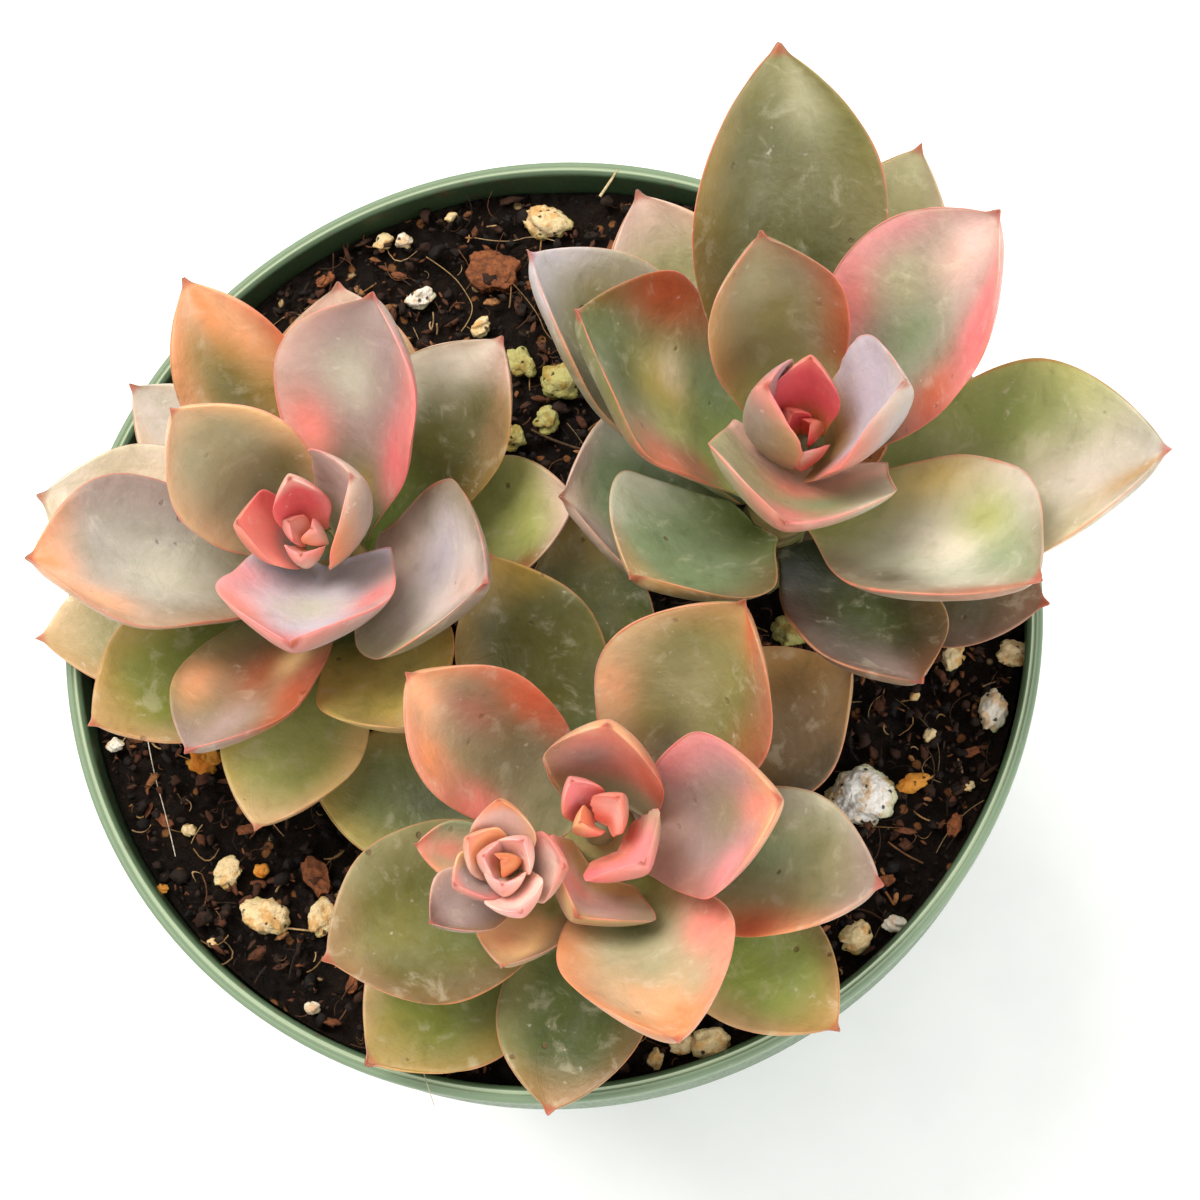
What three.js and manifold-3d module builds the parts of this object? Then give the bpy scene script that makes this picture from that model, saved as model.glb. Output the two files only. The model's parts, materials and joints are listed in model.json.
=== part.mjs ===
// Potted succulent: three leafy rosettes and one small side head, growing in a thin-walled round nursery pot.
// Millimetres, +Z up. The origin is the bottom centre of the pot.
import * as THREE from "three";
import { mergeVertices } from "three/addons/utils/BufferGeometryUtils.js";
import Module from "manifold-3d";

const wasm = await Module();
wasm.setup();

// ---- Driving dimensions ------------------------------------------------------------------------------------

const CLEARANCE = 0.3; // gap kept between pieces that rest against each other
const PRESSED = 0.005; // cubic mm that two leaves share before one makes room for the other

const POT = {
  height: 92,
  rimRadius: 54, // outside of the rolled lip
  baseRadius: 38,
  wall: 0.9,
  lipWidth: 1.8, // how wide the lip is, seen from above
  lipHeight: 2,
  bandHeight: 12, // the upright band under the lip
  bandStep: 0.8, // how far the band stands out from the tapered wall
  drainHoles: 6,
  drainHoleRadius: 3,
  drainHoleInset: 7, // from the edge of the base to the middle of a hole
  segments: 64,
};

const SOIL = {
  drop: 4, // from the top of the pot down to the soil
  bump: 0.5, // how far the surface rises and falls
  rings: 6,
  segments: 48,
};

const STEM = {
  buried: 10, // length below the soil surface
  sides: 14,
};

const LEAF = {
  thin: 1.2, // thickness = thin + thickening * length
  thickening: 0.065,
  neck: 0.3, // width where the leaf leaves the stem, as a share of its widest
  widest: 0.6, // where along the leaf it is widest
  curl: 12, // degrees that the midrib bends upwards from base to tip
  flatCup: 0.1, // how far the edges lift, as a share of the half width, on a level leaf
  risingCup: 0.0085, // and how much more for each degree that the leaf rises
};

const BUD = {
  waist: 0.4, // how much slimmer the growing tip is than its stem
  height: 5,
  sink: 0.8, // how deep the folded leaves start inside the growing tip
};

// Each rosette has a stem that starts at foot, its height given from the soil, and runs along lean for its
// length. Its leaves are rows of [height up the stem, compass turn, rise above level, length, width, roll],
// lengths in mm and angles in degrees, listed from the oldest and lowest leaf up. The bud's rows are the folded
// young leaves around the growing tip.
const ROSETTES = [
  {
    name: "a",
    foot: [-20, 3, -2],
    lean: [-2.2, -2, 30],
    stemRadius: 3.6,
    stemLength: 23,
    leaves: [
      [5, 191, 3, 32, 16.5, 2],
      [6.5, 140, 7, 30, 13, 0],
      [8, 254, 9, 27, 15.5, 2],
      [8.5, 93, 16, 28.5, 18, 2],
      [8.5, 10, 25, 25, 16, -8],
      [9.5, 168, 16, 31, 18.5, -13],
      [10.5, 295, 33, 24.5, 16, 5],
      [11.5, 48, 31, 28.5, 16, 0],
      [12, 217, 12, 28.5, 16.5, -2],
      [13.5, 119, 32, 32, 14, -5],
      [15, 244, 26, 26.5, 14.5, 12],
      [16.5, 192, 31, 30.5, 20.5, 17],
      [16.5, 336, 43, 24, 20.5, 3],
      [18.5, 144, 57, 24.5, 15, -12],
      [19, 69, 44, 27.5, 20, -17],
      [20, 270, 53, 21, 20, -2],
    ],
    bud: [
      [24.5, 187, 65, 11, 8.5, 2],
      [25, 14, 71, 16.5, 12, -3],
      [27, 100, 74, 9, 5, 0],
      [27, 265, 70, 5, 4, 0],
    ],
  },
  {
    name: "b",
    foot: [23, 6, -2],
    lean: [6.3, 1.3, 40],
    stemRadius: 3.8,
    stemLength: 33.5,
    leaves: [
      [12, 342, 0, 26, 16, 0],
      [13.5, 184, 32, 21.5, 23, 10],
      [15, 113, 17, 33.5, 17, -2],
      [16, 302, 24, 25, 16, -19],
      [19, 65, 23, 36, 16.5, -2],
      [19, 144, 35, 35, 18.5, 25],
      [21, 355, 26, 39, 22.5, -7],
      [21, 220, 31, 18, 21, 13],
      [25, 153, 41, 27, 23, 27],
      [26, 16, 22, 7, 4, -4],
      [26.5, 92, 37, 41, 20.5, 17],
      [27, 323, 32, 31, 20.5, -13],
      [29, 40, 40, 32, 19, -7],
      [31, 265, 61, 19, 23, -13],
      [32.5, 101, 56, 23.5, 14.5, 5],
    ],
    bud: [
      [35, 356, 62, 20, 14, -8],
      [36, 175, 83, 15.5, 10, 7],
      [38, 80, 68, 11, 6.5, 0],
      [38, 265, 62, 5, 5, 0],
    ],
  },
  {
    name: "c",
    foot: [8, -25, -2],
    lean: [0.3, -5.5, 29],
    stemRadius: 3.6,
    stemLength: 25,
    leaves: [
      [5.5, 97, 13, 31.5, 14, 0],
      [5.5, 168, 1, 30, 15.5, -4],
      [6.5, 224, 3, 31, 18.5, -2],
      [7, 31, 18, 28, 17, -5],
      [10, 317, 14, 29, 15, -2],
      [9.5, 259, 6, 26, 16, 5],
      [10.5, 114, 23, 29, 15.5, -5],
      [11.5, 207, 14, 29, 19.5, -3],
      [13, 343, 28, 29.5, 16.5, -4],
      [16.5, 52, 42, 29, 19, 6],
      [18.5, 145, 44, 26.5, 15, -11],
      [18.5, 289, 39, 29.5, 17.5, -6],
      [22, 359, 48, 23.5, 16, 10],
      [23, 257, 52, 10.5, 13.5, -28],
      [24, 76, 74, 17, 13, 0],
    ],
    bud: [
      [27, 316, 58, 10, 10, -3],
      [28, 120, 74, 6.5, 4, 0],
      [28.5, 45, 72, 5.5, 4, 0],
    ],
  },
  {
    name: "d", // the side head, whose stem forks from the stem of c
    foot: [6.4, -29, 13],
    lean: [-8, -6.2, 18],
    stemRadius: 2,
    stemLength: 15.5,
    leaves: [
      [8.5, 252, 27, 12, 9.5, 5],
      [10, 178, 27, 11.5, 6, -5],
      [12, 219, 34, 12, 8, 2],
    ],
    bud: [
      [16.5, 352, 52, 6, 7, 12],
      [17, 93, 66, 7.5, 6.5, -5],
      [17.5, 210, 59, 5.5, 6, 7],
      [18, 298, 55, 7, 6, 0],
      [19.5, 60, 74, 4, 3.5, 0],
    ],
  },
];
const FORK = { head: "d", stem: "c" };

// Loose grit that is big enough to be a piece of its own: [x, y] on the soil, half sizes and turn.
const GRIT = [
  {
    name: "perlite_grain",
    at: [34.2, -20.7],
    half: [3.5, 3.2, 2.6],
    turn: 20,
    knobbly: 0.16,
    color: 0xe9e4d6,
  },
  {
    name: "bark_chip",
    at: [-7.5, 42],
    half: [3, 2.3, 1.3],
    turn: -15,
    knobbly: 0.22,
    color: 0x8a5230,
  },
];
const GRIT_SINK = 0.35; // share of a grain's height that is bedded in the soil

const COLORS = {
  pot: 0x5f7f62,
  soil: 0x2a1d16,
  stem: 0x8c8a5a,
  oldLeaf: 0x8a8f5c,
  youngLeaf: 0xb98f7c,
  bud: 0xe28a80,
};

// ---- Worked-out sizes --------------------------------------------------------------------------------------

const radians = THREE.MathUtils.degToRad;
const soilTop = POT.height - SOIL.drop;
const bandBottom = POT.height - POT.lipHeight - POT.bandHeight;
const bandRadius = POT.rimRadius - POT.lipWidth + POT.wall; // outside of the band, under the lip
const taper = (bandRadius - POT.bandStep - POT.baseRadius) / bandBottom;

const bandInside = bandRadius - POT.wall;

// Inside radius of the tapered wall at a height, up to the foot of the band.
function insideRadius(z) {
  return POT.baseRadius + taper * z - POT.wall;
}

// Height of the soil surface at a point, a slow rise and fall.
function soilHeight(x, y) {
  const wave = Math.sin(x * 0.21 + 1) * Math.cos(y * 0.17) + 0.5 * Math.sin(x * 0.47 - y * 0.39);
  return soilTop + (SOIL.bump * wave) / 1.5;
}

// ---- Solids ------------------------------------------------------------------------------------------------

function closed(geometry) {
  const bare = geometry.index ? geometry.toNonIndexed() : geometry.clone();
  bare.deleteAttribute("normal");
  bare.deleteAttribute("uv");
  return mergeVertices(bare, 1e-4);
}

function toSolid(geometry) {
  const bare = closed(geometry);
  const vertProperties = new Float32Array(bare.attributes.position.array);
  const triVerts = new Uint32Array(bare.index.array);
  return new wasm.Manifold(new wasm.Mesh({ numProp: 3, vertProperties, triVerts }));
}

function toGeometry(solid) {
  const mesh = solid.getMesh();
  const geometry = new THREE.BufferGeometry();
  geometry.setAttribute("position", new THREE.BufferAttribute(new Float32Array(mesh.vertProperties), 3));
  geometry.setIndex(new THREE.BufferAttribute(new Uint32Array(mesh.triVerts), 1));
  geometry.computeVertexNormals();
  return geometry;
}

function revolve(profile, segments) {
  const lathe = new THREE.LatheGeometry(profile.map(([r, z]) => new THREE.Vector2(r, z)), segments);
  return lathe.rotateX(Math.PI / 2);
}

function part(name, geometry, color, roughness) {
  const mesh = new THREE.Mesh(geometry, new THREE.MeshStandardMaterial({ color, roughness, metalness: 0 }));
  mesh.name = name;
  return mesh;
}

// ---- Pot ---------------------------------------------------------------------------------------------------

function potSolid() {
  const { height, rimRadius, baseRadius, wall, lipWidth, lipHeight, bandStep } = POT;
  const lipBottom = height - lipHeight;
  const innerLip = rimRadius - lipWidth;
  const shell = toSolid(
    revolve(
      [
        [0, 0],
        [baseRadius - wall, 0],
        [baseRadius + taper * wall, wall],
        [bandRadius - bandStep, bandBottom],
        [bandRadius, bandBottom + bandStep],
        [bandRadius, lipBottom],
        [rimRadius, lipBottom + wall / 2],
        [rimRadius, height - wall / 2],
        [rimRadius - wall / 2, height],
        [innerLip + wall / 2, height],
        [innerLip, height - wall / 2],
        [bandInside, bandBottom + bandStep + wall],
        [insideRadius(bandBottom), bandBottom],
        [insideRadius(wall * 2), wall * 2],
        [insideRadius(wall) - wall, wall],
        [0, wall],
      ],
      POT.segments
    )
  );
  const hole = new THREE.CylinderGeometry(POT.drainHoleRadius, POT.drainHoleRadius, wall * 4, 16);
  hole.rotateX(Math.PI / 2).translate(baseRadius - POT.drainHoleInset, 0, 0);
  let pot = shell;
  for (let i = 0; i < POT.drainHoles; i++) {
    pot = pot.subtract(toSolid(hole.clone().rotateZ(((i + 0.5) / POT.drainHoles) * Math.PI * 2)));
  }
  return pot;
}

// ---- Stems -------------------------------------------------------------------------------------------------

// Turns a solid that stands on +Z to the way a rosette leans and stands it on its foot.
function stemPlacement(rosette) {
  const lean = new THREE.Vector3(...rosette.lean).normalize();
  const turn = new THREE.Quaternion().setFromUnitVectors(new THREE.Vector3(0, 0, 1), lean);
  const foot = new THREE.Vector3(...rosette.foot).add(new THREE.Vector3(0, 0, soilTop));
  return new THREE.Matrix4().compose(foot, turn, new THREE.Vector3(1, 1, 1));
}

// A fleshy stem with a rounded foot and head; grow makes the wider copy that cuts its socket in the soil.
function stemSolid(rosette, buried, grow = 0) {
  const r = rosette.stemRadius + grow;
  const bottom = -buried - grow;
  const top = rosette.stemLength + grow;
  const profile = [
    [0, bottom],
    [r * 0.7, bottom + r * 0.1],
    [r, bottom + r * 0.6],
    [r * 0.92, top / 2],
    [r, top - r * 0.6],
    [r * 0.8, top - r * 0.2],
    [0, top],
  ];
  return toSolid(revolve(profile, STEM.sides).applyMatrix4(stemPlacement(rosette)));
}

// ---- Leaves ------------------------------------------------------------------------------------------------

const STATIONS = [0, 0.12, 0.28, 0.45, 0.6, 0.74, 0.86, 0.95];
const ACROSS = [1, 0.72, 0.26, -0.26, -0.72, -1]; // over the top of the leaf, left edge to right edge

function halfWidth(t) {
  if (t < LEAF.widest) {
    return LEAF.neck + (1 - LEAF.neck) * Math.sin((Math.PI / 2) * (t / LEAF.widest)) ** 1.3;
  }
  return (1 - ((t - LEAF.widest) / (1 - LEAF.widest)) ** 2.2) ** 0.7;
}

function halfThickness(t) {
  const swell = Math.min(1, 0.75 + (0.25 * t) / 0.3);
  const thinning = t > 0.3 ? Math.sqrt(1 - ((t - 0.3) / 0.72) ** 2) : 1;
  return (swell * thinning) / 2;
}

// A thick cupped leaf that grows from the origin along +X, its upper face towards +Z. grow makes the fatter
// copy that presses a hollow into a neighbour.
function leafGeometry(rise, length, width, grow = 0) {
  const thickness = LEAF.thin + LEAF.thickening * length + 2 * grow;
  const cup = LEAF.flatCup + LEAF.risingCup * Math.max(rise, 0);
  const bend = radians(LEAF.curl) / length;

  function at(t, y, w, face) {
    const angle = bend * (length + grow) * t;
    const under = (1 - face) * thickness * halfThickness(t) * Math.sqrt(1 - y * y);
    const lift = cup * y * y * w + grow - under;
    const x = Math.sin(angle) / bend - lift * Math.sin(angle);
    const z = (1 - Math.cos(angle)) / bend + lift * Math.cos(angle);
    return [x, y * w, z];
  }

  const ring = [...ACROSS.map((y) => [y, 1]), ...ACROSS.slice(1, -1).reverse().map((y) => [y, -1])];
  const points = [];
  for (const t of STATIONS) {
    const w = (halfWidth(t) * width) / 2 + grow;
    for (const [y, face] of ring) points.push(at(t, y, w, face));
  }
  const base = points.push(at(0, 0, 0, 0)) - 1;
  const tip = points.push(at(1, 0, 0, 0)) - 1;
  const n = ring.length;
  const faces = [];
  for (let i = 0; i < n; i++) {
    const j = (i + 1) % n;
    faces.push([base, j, i]);
    for (let s = 0; s < STATIONS.length - 1; s++) {
      const here = s * n;
      const next = here + n;
      faces.push([here + i, here + j, next + j], [here + i, next + j, next + i]);
    }
    const last = (STATIONS.length - 1) * n;
    faces.push([last + i, last + j, tip]);
  }
  const geometry = new THREE.BufferGeometry();
  geometry.setAttribute("position", new THREE.Float32BufferAttribute(points.flat(), 3));
  geometry.setIndex(faces.flat());
  geometry.computeVertexNormals();
  return geometry;
}

// Where a leaf sits on its stem, and how it is turned.
function leafPlacement(rosette, row, reach) {
  const [height, turn, rise, , , roll] = row;
  const lean = new THREE.Vector3(...rosette.lean).normalize();
  const out = new THREE.Vector3(Math.cos(radians(turn)), Math.sin(radians(turn)), 0);
  const position = new THREE.Vector3(...rosette.foot).add(new THREE.Vector3(0, 0, soilTop));
  position.addScaledVector(lean, height).addScaledVector(out, reach);
  const rotation = new THREE.Euler(radians(roll), radians(-rise), radians(turn), "ZYX");
  return { position, rotation };
}

// How far from the stem's axis a leaf starts, so that its base lies CLEARANCE from the stem's skin.
function leafReach(rosette, rise) {
  return rosette.stemRadius + CLEARANCE * (1 + Math.sin(radians(Math.abs(rise))));
}

function leafMesh(rosette, row, index) {
  const [, , rise, length, width] = row;
  const { position, rotation } = leafPlacement(rosette, row, leafReach(rosette, rise));
  const age = index / rosette.leaves.length;
  const color = new THREE.Color(COLORS.oldLeaf).lerp(new THREE.Color(COLORS.youngLeaf), age);
  const number = String(index + 1).padStart(2, "0");
  const mesh = part(`leaf_${rosette.name}${number}`, leafGeometry(rise, length, width), color, 0.5);
  mesh.position.copy(position);
  mesh.rotation.copy(rotation);
  return mesh;
}

// A leaf as a solid in its place on the plant.
function leafSolid(rosette, row, reach, grow = 0) {
  const [, , rise, length, width] = row;
  const { position, rotation } = leafPlacement(rosette, row, reach);
  const turn = new THREE.Quaternion().setFromEuler(rotation);
  const placement = new THREE.Matrix4().compose(position, turn, new THREE.Vector3(1, 1, 1));
  return toSolid(leafGeometry(rise, length, width, grow).applyMatrix4(placement));
}

// The growing tip: a small cone on the head of the stem, with the folded young leaves that grow from it.
function budSolid(rosette, grow = 0) {
  const r = rosette.stemRadius - BUD.waist;
  const profile = [
    [0, -grow],
    [r * 0.7 + grow, 0.1],
    [r + grow, BUD.height * 0.3],
    [r * 0.7 + grow, BUD.height * 0.75],
    [0, BUD.height + grow],
  ];
  const tip = revolve(profile, STEM.sides).translate(0, 0, rosette.stemLength + CLEARANCE);
  let bud = toSolid(tip.applyMatrix4(stemPlacement(rosette)));
  const reach = Math.max(r - BUD.sink, 0);
  for (const row of rosette.bud) {
    const inner = row[0] > rosette.stemLength + BUD.height * 0.6 ? reach / 2 : reach;
    bud = bud.add(leafSolid(rosette, row, inner, grow));
  }
  return bud;
}

// Leaves and buds that press into each other: the older one is hollowed to lie CLEARANCE from the younger.
function makeRoom(foliage) {
  foliage.forEach((older, index) => {
    for (const younger of foliage.slice(index + 1)) {
      if (older.solid.intersect(younger.solid).volume() < PRESSED) continue;
      older.solid = older.solid.subtract(younger.grown());
      older.mesh.geometry = toGeometry(older.solid);
      older.mesh.position.set(0, 0, 0);
      older.mesh.rotation.set(0, 0, 0);
    }
  });
}

// ---- Soil and grit -----------------------------------------------------------------------------------------

// A rounded, knobbly grain bedded in the soil; grow makes the wider copy that cuts its seat.
function grainSolid(grain, grow = 0) {
  const geometry = closed(new THREE.IcosahedronGeometry(1, 3));
  const position = geometry.attributes.position;
  const point = new THREE.Vector3();
  const [x, y] = grain.at;
  const [a, b, c] = grain.half;
  for (let i = 0; i < position.count; i++) {
    point.fromBufferAttribute(position, i);
    const lumps = Math.sin(point.x * 5 + x) * Math.sin(point.y * 4 + y) * Math.cos(point.z * 3);
    point.multiplyScalar(1 + grain.knobbly * lumps).multiply(new THREE.Vector3(a + grow, b + grow, c + grow));
    position.setXYZ(i, point.x, point.y, point.z);
  }
  geometry.rotateZ(radians(grain.turn)).translate(x, y, soilHeight(x, y) + c * (1 - 2 * GRIT_SINK));
  return toSolid(geometry);
}

function soilSolid() {
  const floor = POT.wall + CLEARANCE;
  const sideRadius = (z) => insideRadius(z) - CLEARANCE;
  const lowCorner = sideRadius(floor + POT.wall);
  const topRadius = bandInside - CLEARANCE;
  const profile = [
    [0, floor],
    [lowCorner - POT.wall * 2, floor],
    [lowCorner, floor + POT.wall],
    [sideRadius(bandBottom), bandBottom],
    [topRadius, bandBottom + POT.bandStep + POT.wall],
  ];
  for (let i = SOIL.rings; i >= 0; i--) profile.push([(topRadius * i) / SOIL.rings, soilTop]);
  const geometry = closed(revolve(profile, SOIL.segments));
  const position = geometry.attributes.position;
  for (let i = 0; i < position.count; i++) {
    if (position.getZ(i) > soilTop - 1e-3) position.setZ(i, soilHeight(position.getX(i), position.getY(i)));
  }
  let soil = toSolid(geometry);
  for (const rosette of ROSETTES) {
    if (rosette.name !== FORK.head) soil = soil.subtract(stemSolid(rosette, STEM.buried, CLEARANCE));
  }
  for (const grain of GRIT) soil = soil.subtract(grainSolid(grain, CLEARANCE));
  return soil;
}

// ---- The whole plant in its pot ----------------------------------------------------------------------------

const pottedSucculent = new THREE.Group();
pottedSucculent.add(part("pot", toGeometry(potSolid()), COLORS.pot, 0.55));
pottedSucculent.add(part("soil", toGeometry(soilSolid()), COLORS.soil, 1));

const foliage = []; // every leaf and bud, each with its solid and a way to make its fatter copy
for (const rosette of ROSETTES) {
  const group = new THREE.Group();
  if (rosette.name !== FORK.head) {
    let stem = stemSolid(rosette, STEM.buried);
    const branch = ROSETTES.find((other) => other.name === FORK.head);
    if (rosette.name === FORK.stem) stem = stem.add(stemSolid(branch, 0));
    group.add(part(`stem_${rosette.name}`, toGeometry(stem), COLORS.stem, 0.7));
  }
  rosette.leaves.forEach((row, index) => {
    const mesh = leafMesh(rosette, row, index);
    const reach = leafReach(rosette, row[2]);
    const grown = () => leafSolid(rosette, row, reach, CLEARANCE);
    foliage.push({ mesh, solid: leafSolid(rosette, row, reach), grown });
    group.add(mesh);
  });
  const bud = budSolid(rosette);
  const budMesh = part(`bud_${rosette.name}`, toGeometry(bud), COLORS.bud, 0.5);
  foliage.push({ mesh: budMesh, solid: bud, grown: () => budSolid(rosette, CLEARANCE) });
  group.add(budMesh);
  pottedSucculent.add(group);
}
makeRoom(foliage);

for (const grain of GRIT) {
  pottedSucculent.add(part(grain.name, toGeometry(grainSolid(grain)), grain.color, 0.95));
}

export default pottedSucculent;
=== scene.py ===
import json
import math
import random

import bpy
import numpy as np
from bpy.props import FloatProperty, FloatVectorProperty, IntProperty, PointerProperty
from mathutils import Matrix, Vector

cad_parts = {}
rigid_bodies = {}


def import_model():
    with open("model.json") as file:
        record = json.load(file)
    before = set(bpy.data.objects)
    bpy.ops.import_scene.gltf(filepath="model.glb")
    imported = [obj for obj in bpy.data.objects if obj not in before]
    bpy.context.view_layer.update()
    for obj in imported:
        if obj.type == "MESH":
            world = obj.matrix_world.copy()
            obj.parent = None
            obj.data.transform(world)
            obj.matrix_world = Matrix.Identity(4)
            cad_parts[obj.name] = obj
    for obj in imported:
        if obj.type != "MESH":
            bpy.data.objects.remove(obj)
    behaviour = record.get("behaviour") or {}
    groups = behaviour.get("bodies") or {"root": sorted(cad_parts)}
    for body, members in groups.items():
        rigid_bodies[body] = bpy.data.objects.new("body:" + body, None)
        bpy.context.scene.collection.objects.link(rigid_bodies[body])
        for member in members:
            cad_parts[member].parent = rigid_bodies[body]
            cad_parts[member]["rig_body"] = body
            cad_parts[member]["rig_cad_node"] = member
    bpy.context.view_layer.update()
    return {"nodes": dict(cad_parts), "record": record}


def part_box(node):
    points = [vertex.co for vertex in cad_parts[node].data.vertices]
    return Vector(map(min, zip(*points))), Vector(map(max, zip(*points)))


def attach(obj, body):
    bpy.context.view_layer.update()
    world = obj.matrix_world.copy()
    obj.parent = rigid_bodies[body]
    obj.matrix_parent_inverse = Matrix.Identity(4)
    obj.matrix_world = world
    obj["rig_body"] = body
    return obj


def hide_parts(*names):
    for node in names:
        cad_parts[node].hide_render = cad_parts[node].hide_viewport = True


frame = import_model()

bl_info = {
    "name": "Potted succulent",
    "version": (1, 0, 0),
    "blender": (4, 5, 0),
    "location": "View3D > Sidebar > Succulent",
    "description": "Models a rosette succulent in a nursery pot around its packed solid model",
    "category": "Add Mesh",
}

MM = 0.001
BODY = "root"


# ---- Colours ------------------------------------------------------------------------------------------------

def linear(hex_code):
    """A colour written as rrggbb, as linear red, green and blue."""
    values = [int(hex_code[i:i + 2], 16) / 255 for i in (0, 2, 4)]
    return tuple(v / 12.92 if v <= 0.04045 else ((v + 0.055) / 1.055) ** 2.4 for v in values)


PALETTE = {name: linear(code) for name, code in {
    "night": "262c14", "forest": "4c5620", "deep": "505e28", "green": "68743a", "meadow": "80853a",
    "fresh": "9aac58", "lime": "b6b86c", "celadon": "80906a", "moss": "615e28", "olive": "857e46",
    "drab": "8a7c5a", "khaki": "9c9468", "sage": "aca682", "silver": "c4c0ac", "stone": "c8bab0",
    "ash": "9e968c", "dusk": "9e8480", "mauve": "b0948e", "lilac": "c6bcca", "blush": "d8b4a8",
    "shell": "fac8bc", "plum": "6a4436", "cocoa": "906048", "rosewood": "a4604c", "bark": "463618",
    "umber": "4e4024", "brown": "7c5c34", "bronze": "a27c54", "brass": "a58440", "ochre": "bc943c",
    "tan": "c0925c", "sand": "d8b084", "cream": "eed8b8", "ivory": "f6e8d6", "apricot": "f6c68a",
    "peach": "f6ac7c", "orange": "e68a50", "ember": "d8603a", "rust": "ac4c26", "salmon": "ee8c78",
    "rose": "d87470", "coral": "fa8c80", "pink": "f09496", "hot": "f0666e", "yellow": "d6bc64",
}.items()}


# ---- Tables -------------------------------------------------------------------------------------------------

# How each leaf is coloured: at its base, over the blade, at the tip, and along the left and right margins, seen
# from its upper side with the tip pointing away.
LEAF_PAINT = {
    "a01": "olive khaki sand tan cream", "a02": "sage stone stone sand cream",
    "a03": "green lime sand apricot yellow", "a04": "olive sand blush sand bronze",
    "a05": "green lime blush lime olive", "a06": "olive cream ivory sand ivory",
    # a08's ivory left margin is painted sunlight on its tip.
    "a07": "green yellow tan ochre yellow", "a08": "fresh moss blush ivory brass",
    "a09": "green meadow tan bronze brass", "a10": "olive brass peach peach ember",
    "a11": "green drab dusk rust olive", "a12": "drab ash peach bronze dusk",
    "a13": "blush stone dusk drab khaki", "a14": "sage sage sand sand apricot",
    "a15": "deep dusk mauve blush rose", "a16": "lilac lilac rose mauve pink",
    "b01": "umber umber cocoa plum plum", "b02": "green celadon blush brown stone",
    "b03": "lime khaki blush blush sand", "b04": "night bark cocoa brown plum",
    "b05": "ivory khaki sage sand blush", "b06": "green khaki lilac drab silver",
    "b07": "fresh sage ash lime cream", "b08": "green celadon tan brown silver",
    "b09": "fresh celadon moss green rust", "b10": "sage orange orange orange orange",
    "b11": "moss moss olive brass olive", "b12": "lime silver drab stone brown",
    "b13": "olive ash blush pink rose", "b14": "shell khaki rose silver sage",
    "b15": "lime drab bronze tan rust",
    "c01": "deep moss ochre moss forest", "c02": "celadon meadow yellow yellow ochre",
    "c03": "green meadow brass brass sand", "c04": "moss brown tan tan bark",
    "c05": "moss fresh tan brown sand", "c06": "deep forest bronze brown olive",
    "c07": "deep moss ochre brass moss", "c08": "green moss bronze brown khaki",
    "c09": "moss khaki dusk silver peach", "c10": "cocoa olive tan sand rust",
    "c11": "sage drab peach salmon ember", "c12": "lime sage orange salmon orange",
    "c13": "blush dusk peach pink rosewood", "c14": "tan blush tan khaki salmon",
    "c15": "sage salmon peach drab rust",
    "d01": "lime apricot bronze umber peach", "d02": "sand sage salmon peach celadon",
    "d03": "drab dusk plum brown blush",
}

# Leaves shaped otherwise than most: how sharp the fold, how deep the hollow as a share, how wide the base as a
# share of the leaf, how many degrees further open about the tip, and how wide the whole leaf as a share.
LEAF_FORM = {
    "a13": (0.25, 0.85, 0.45, 0, 1), "a14": (0.15, 0.8, 0.45, 0, 1), "a15": (0.15, 0.9, 0.4, 0, 0.96),
    "a16": (0.4, 0.85, 0.75, 8, 0.9), "b09": (0.15, 0.8, 0.4, 0, 1), "b13": (0.15, 0.9, 0.4, 0, 1),
    "b14": (0.45, 0.85, 0.85, 12, 0.8), "b15": (0.15, 0.8, 0.45, 0, 1), "c11": (0.15, 0.9, 0.4, 0, 1),
    "c13": (0.35, 0.9, 0.45, 0, 1), "c14": (0.7, 0.9, 0.6, 0, 1), "c15": (0.1, 0.65, 0.75, 0, 0.95),
}
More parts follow.
